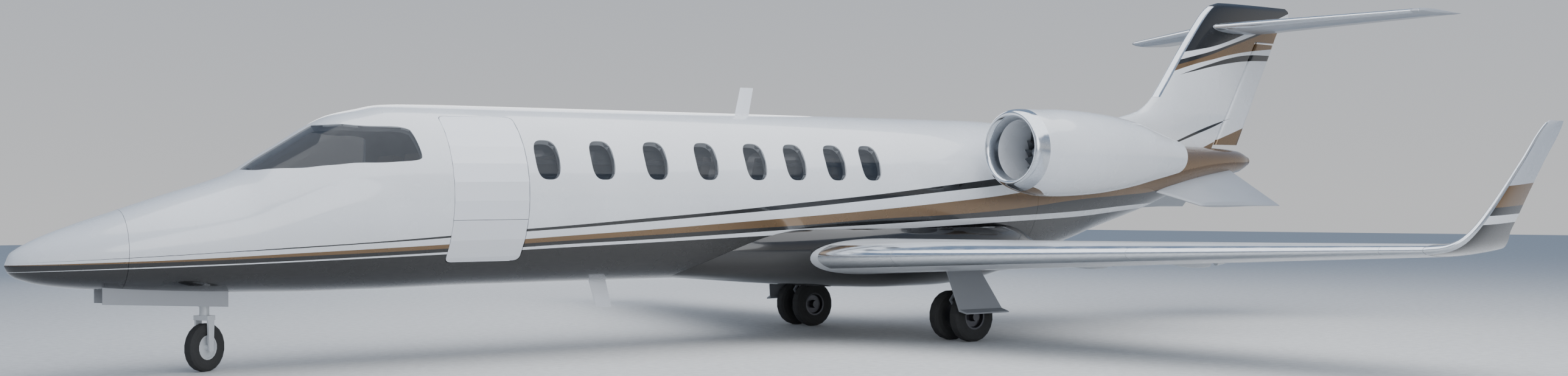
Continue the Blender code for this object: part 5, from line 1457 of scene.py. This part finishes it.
    def ventral_line(self, t: float) -> Chord:
        """A ventral fin's section at a share of the way out."""
        root = [place(x, -y, z) for x, y, z in self.ventral_root]
        tip = [place(x, -y, z) for x, y, z in self.ventral_tip]
        up = (tip[0] - root[0]).cross(root[1] - root[0]).normalized()
        past = max(0.0, (t - 0.95) / 0.05)
        return Chord(root[0].lerp(tip[0], t), root[1].lerp(tip[1], t), 0.05 * sqrt(max(0.02, 1 - past * past)), up)

    def build(self) -> None:
        """Builds the whole tail."""
        self.build_fin()
        self.build_tailplane()
        ventral = lifting_body(self.ventral_line, 0.0, 1.0, 20, 56)
        settle_pair(ventral, "ventral_fin_skin", "airframe", TAIL_ENAMEL, ["ventral_fin_*"])


# Engines


@dataclass
class Engine:
    """A nacelle with its polished lip and nozzle, its pylon, and the fan inside it."""

    y: float = 1.47
    z: float = 2.085
    cowl: tuple[Pair, ...] = (
        (13.14, 0.180), (12.75, 0.250), (12.00, 0.335), (11.40, 0.345), (10.80, 0.350), (10.62, 0.345), (10.52, 0.347),
        (10.455, 0.362), (10.43, 0.395), (10.455, 0.425), (10.53, 0.452), (10.72, 0.482), (11.05, 0.500), (11.45, 0.490),
        (11.90, 0.455), (12.35, 0.387), (12.75, 0.292), (13.14, 0.197),
    )
    droop: tuple[Pair, ...] = ((10.43, 0.050), (10.90, 0.000), (12.20, 0.000), (13.14, -0.030))
    core: tuple[Pair, ...] = ((11.30, 0.0), (11.30, 0.20), (11.38, 0.24), (12.00, 0.238), (12.35, 0.22), (12.70, 0.16),
                              (13.05, 0.07), (13.20, 0.02), (13.22, 0.0))
    pylon: tuple[float, float, float] = (11.35, 13.15, 0.085)
    fan: Pair = (10.98, 11.10)
    fan_hub: float = 0.105
    fan_tip: float = 0.340
    blades: int = 20

    def profile(self, steps: int = 6) -> list[Pair]:
        """The cowl's wall from the nozzle's inside, round the lip, to the nozzle's outside."""
        points = [Vector(p) for p in self.cowl]
        line = []
        for k in range(len(points) - 1):
            a, b = points[k], points[k + 1]
            before = points[max(k - 1, 0)]
            after = points[min(k + 2, len(points) - 1)]
            span = (b - a).length
            start = (b - before) / max((b - a).length + (a - before).length, 1e-6) * span
            end = (after - a) / max((after - b).length + (b - a).length, 1e-6) * span
            for i in range(steps):
                t = i / steps
                line.append(a * (2 * t ** 3 - 3 * t ** 2 + 1) + start * (t ** 3 - 2 * t ** 2 + t)
                            + b * (3 * t ** 2 - 2 * t ** 3) + end * (t ** 3 - t ** 2))
        line.append(points[-1])
        return [tuple(p) for p in line]

    def ring_spot(self, x: float, radius: float, u: float) -> Vector:
        """A point round the nacelle at a station and a radius."""
        a = 2 * pi * u
        return place(x, -self.y + radius * cos(a), self.z + smooth(self.droop, x) + radius * sin(a))

    def build_cowl(self) -> None:
        """The nacelle's wall, the polished intake lip, the nozzle and the pylon."""
        line = self.profile()
        count = len(line)
        closed = line + [line[0]]
        cowl = seal(sheet(72, count, lambda u, v: self.ring_spot(*closed[round(v * count)], u)), False)
        with editing(cowl):
            bpy.ops.mesh.select_all(action="DESELECT")
        inner_end = next(k for k, p in enumerate(line) if p[0] < 10.56)
        radii = dict()
        for k, (x, r) in enumerate(line):
            radii[k] = r
        for face in cowl.data.polygons:
            x = face.center.x + MIDDLE
            r = hypot(face.center.y + self.y, face.center.z - self.z - smooth(self.droop, x))
            middle = between(smooth(sorted((p for p in self.cowl[:8]), key=lambda p: p[0]), x),
                             smooth(sorted((p for p in self.cowl[8:]), key=lambda p: p[0]), x), 0.5)
            face.material_index = 1 if r < middle and x > 10.5 else 0
        settle_pair(cowl, "nacelle_skin", "airframe", (NACELLE_ENAMEL, DUCT), ["nacelle_*"])
        lip = [p for k, p in enumerate(line) if p[0] < 10.60 and k >= inner_end - 3]
        lip_rows = len(lip) - 1
        ring = seal(sheet(72, lip_rows, lambda u, v: self.ring_spot(lip[round(v * lip_rows)][0] - 0.0006,
                                                                    lip[round(v * lip_rows)][1], u)), False)
        face = ring.data.polygons[len(ring.data.polygons) // 2]
        thicken(ring, 0.0016, 0.0)
        settle_pair(ring, "intake_lip", "airframe", POLISHED)

        def chord(y: float) -> Chord:
            """The pylon's section at a distance from the middle."""
            t = (y - 0.35) / 0.90
            flare = 1 + 0.5 * max(0.0, (y - 0.98) / 0.12) ** 2 + 0.6 * max(0.0, (0.82 - y) / 0.2) ** 2
            z = between(2.02, 2.07, t)
            thick = 2 * self.pylon[2] / (self.pylon[1] - self.pylon[0])
            return Chord(place(self.pylon[0], -y, z), place(self.pylon[1], -y, z), thick * min(flare, 1.5),
                         Vector((0, 0, 1)))

        pylon = lifting_body(chord, 0.45, 1.12, 20)
        settle_pair(pylon, "pylon_skin", "airframe", NACELLE_ENAMEL, ["pylon_*"])

    def blade(self) -> bpy.types.Object:
        """One wide twisted fan blade, standing up from the axis."""
        def spot(u: float, v: float) -> Vector:
            """Places a point of the blade's two faces."""
            radius = between(self.fan_hub - 0.01, self.fan_tip, v)
            chord = between(0.085, 0.120, sin(v * pi * 0.6))
            twist = radians(between(28, 62, v))
            a = 2 * pi * u
            along, thick = chord / 2 * cos(a), 0.0045 * sin(a) * (1 - 0.5 * v) + 0.010 * cos(a) ** 2 * (v - 0.4)
            x = along * cos(twist) - thick * sin(twist)
            side = along * sin(twist) + thick * cos(twist)
            return Vector((x, side, radius - 0.012 * (cos(a) - 0.2) * v * v * 0.6))

        return tube_loft(16, 14, spot)

    def build_inside(self) -> None:
        """Fan, spinner, stator vanes, engine core, struts and exhaust cone."""
        centre = place((self.fan[0] + self.fan[1]) / 2, -self.y, self.z)
        turns = [Matrix.Translation(centre) @ Matrix.Rotation(2 * pi * k / self.blades, 4, "X")
                 for k in range(self.blades)]
        blades = scatter(self.blade(), turns)
        nose = [(-0.235 + 0.175 * (1 - cos(pi / 2 * k / 8)), self.fan_hub * sin(pi / 2 * k / 8) ** 0.9) for k in range(9)]
        hub = turned(nose + [(0.05, self.fan_hub), (0.07, 0.09), (0.07, 0.05), (0.205, 0.05), (0.205, 0.0)], centre, "X", 40)
        settle_pair(join_up([blades, hub]), "fan_assembly", "fan_*", FAN_METAL, ["fan_*"])
        middle = place(0, -self.y, self.z)
        core = turned(self.core, middle, "X", 48)
        struts = []
        for k in range(5):
            a = pi / 2 + 2 * pi * k / 5
            out = Vector((0, cos(a), sin(a)))
            base = place(11.75, -self.y, self.z)
            struts.append(rod(base + out * 0.20, base + out * 0.343, 0.018, facets=16))
        vane = sheet(6, 2, lambda u, v: Vector((between(-0.04, 0.04, u), 0.012 * (2 * u - 1) ** 2,
                                                between(0.235, 0.342, v))))
        thicken(vane, 0.003, 0.0)
        vanes = scatter(vane, [Matrix.Translation(place(11.30, -self.y, self.z)) @ Matrix.Rotation(2 * pi * k / 32, 4, "X")
                               for k in range(32)])
        settle_pair(join_up([core, vanes] + struts), "engine_core_detail", "airframe", NOZZLE,
                    ["engine_core_*"])

    def build(self) -> None:
        """Builds both engines."""
        self.build_cowl()
        self.build_inside()


# Studio


@dataclass
class Studio:
    """Camera, soft light and a pale floor."""

    camera_at: tuple[float, float, float] = (-2.3620, -14.6109, 1.4921)
    yaw: float = 30.5318
    pitch: float = -0.2016
    roll: float = -0.3839
    focal_px: float = 2601.618
    centre_px: Pair = (1025.231, 350.320)
    photo_px: Pair = (2576, 618)

    def build_camera(self) -> None:
        """The photograph's camera, found from its wheels, windows, wing tip and tail."""
        yaw, pitch, roll = (radians(a) for a in (self.yaw, self.pitch, self.roll))
        ahead = Vector((sin(yaw) * cos(pitch), cos(yaw) * cos(pitch), sin(pitch)))
        right = Vector((cos(yaw), -sin(yaw), 0))
        over = right.cross(ahead)
        right, over = right * cos(roll) + over * sin(roll), over * cos(roll) - right * sin(roll)
        data = bpy.data.cameras.new("photo_camera")
        wide, high = self.photo_px
        data.sensor_fit = "HORIZONTAL"
        data.sensor_width = 36.0
        data.lens = self.focal_px * data.sensor_width / wide
        data.shift_x = (wide / 2 - self.centre_px[0]) / wide
        data.shift_y = (self.centre_px[1] - high / 2) / wide
        data.clip_end = 200.0
        camera = bpy.data.objects.new("photo_camera", data)
        bpy.context.scene.collection.objects.link(camera)
        turn = Matrix((right, over, -ahead)).transposed().to_4x4()
        camera.matrix_world = Matrix.Translation(place(*self.camera_at)) @ turn
        bpy.context.scene.camera = camera

    def build_light(self) -> None:
        """A large soft light overhead, a softer one by the camera, and a pale sky."""
        lamps = (("overhead_softbox", (0, -3, 11), (0, 0, 1), 22.0, 2600, (1.0, 0.99, 0.97)),
                 ("camera_softbox", (-8, -20, 6), (0, 0, 1.5), 14.0, 1300, (0.95, 0.97, 1.0)),
                 ("far_softbox", (6, 18, 8), (0, 0, 1.5), 14.0, 900, (1.0, 1.0, 1.0)))
        for name, spot, aim, size, power, colour in lamps:
            data = bpy.data.lights.new(name, "AREA")
            data.shape = "DISK"
            data.size = size
            data.energy = power
            data.color = colour
            lamp = bpy.data.objects.new(name, data)
            bpy.context.scene.collection.objects.link(lamp)
            lamp.matrix_world = upright(Vector(spot), Vector(spot) - Vector(aim))
        world = bpy.data.worlds.new("pale_sky")
        bpy.context.scene.world = world
        world.use_nodes = True
        tree = world.node_tree
        coords = tree.nodes.new("ShaderNodeTexCoord")
        parts = tree.nodes.new("ShaderNodeSeparateXYZ")
        ramp = tree.nodes.new("ShaderNodeValToRGB")
        tree.links.new(coords.outputs["Generated"], parts.inputs[0])
        tree.links.new(parts.outputs[2], ramp.inputs[0])
        tree.links.new(ramp.outputs[0], tree.nodes["Background"].inputs[0])
        ramp.color_ramp.elements[0].color = linear("#F4F5F7")
        ramp.color_ramp.elements[1].color = linear("#9FB6D6")
        ramp.color_ramp.elements[1].position = 0.55
        tree.nodes["Background"].inputs[1].default_value = 0.75

    def build_floor(self) -> None:
        """A plain pale floor."""
        floor = fresh(bpy.ops.mesh.primitive_plane_add, size=120.0)
        floor.name = "studio_floor"
        floor.data.materials.append(MouldedPlastic("matt_floor_paint", "#D9D9D8", 0.85, 12.0).material())

    def build(self) -> None:
        """Sets the studio up."""
        self.build_camera()
        self.build_light()
        self.build_floor()


def main() -> None:
    """Builds the studio and every piece of the aircraft."""
    logging.basicConfig(level=logging.INFO, format="%(message)s")
    Studio().build()
    fuselage = Fuselage()
    fuselage.build()
    Wing().build()
    BellyFairing().build(fuselage)
    Tail().build()
    Engine().build()


if __name__ == "__main__":
    main()
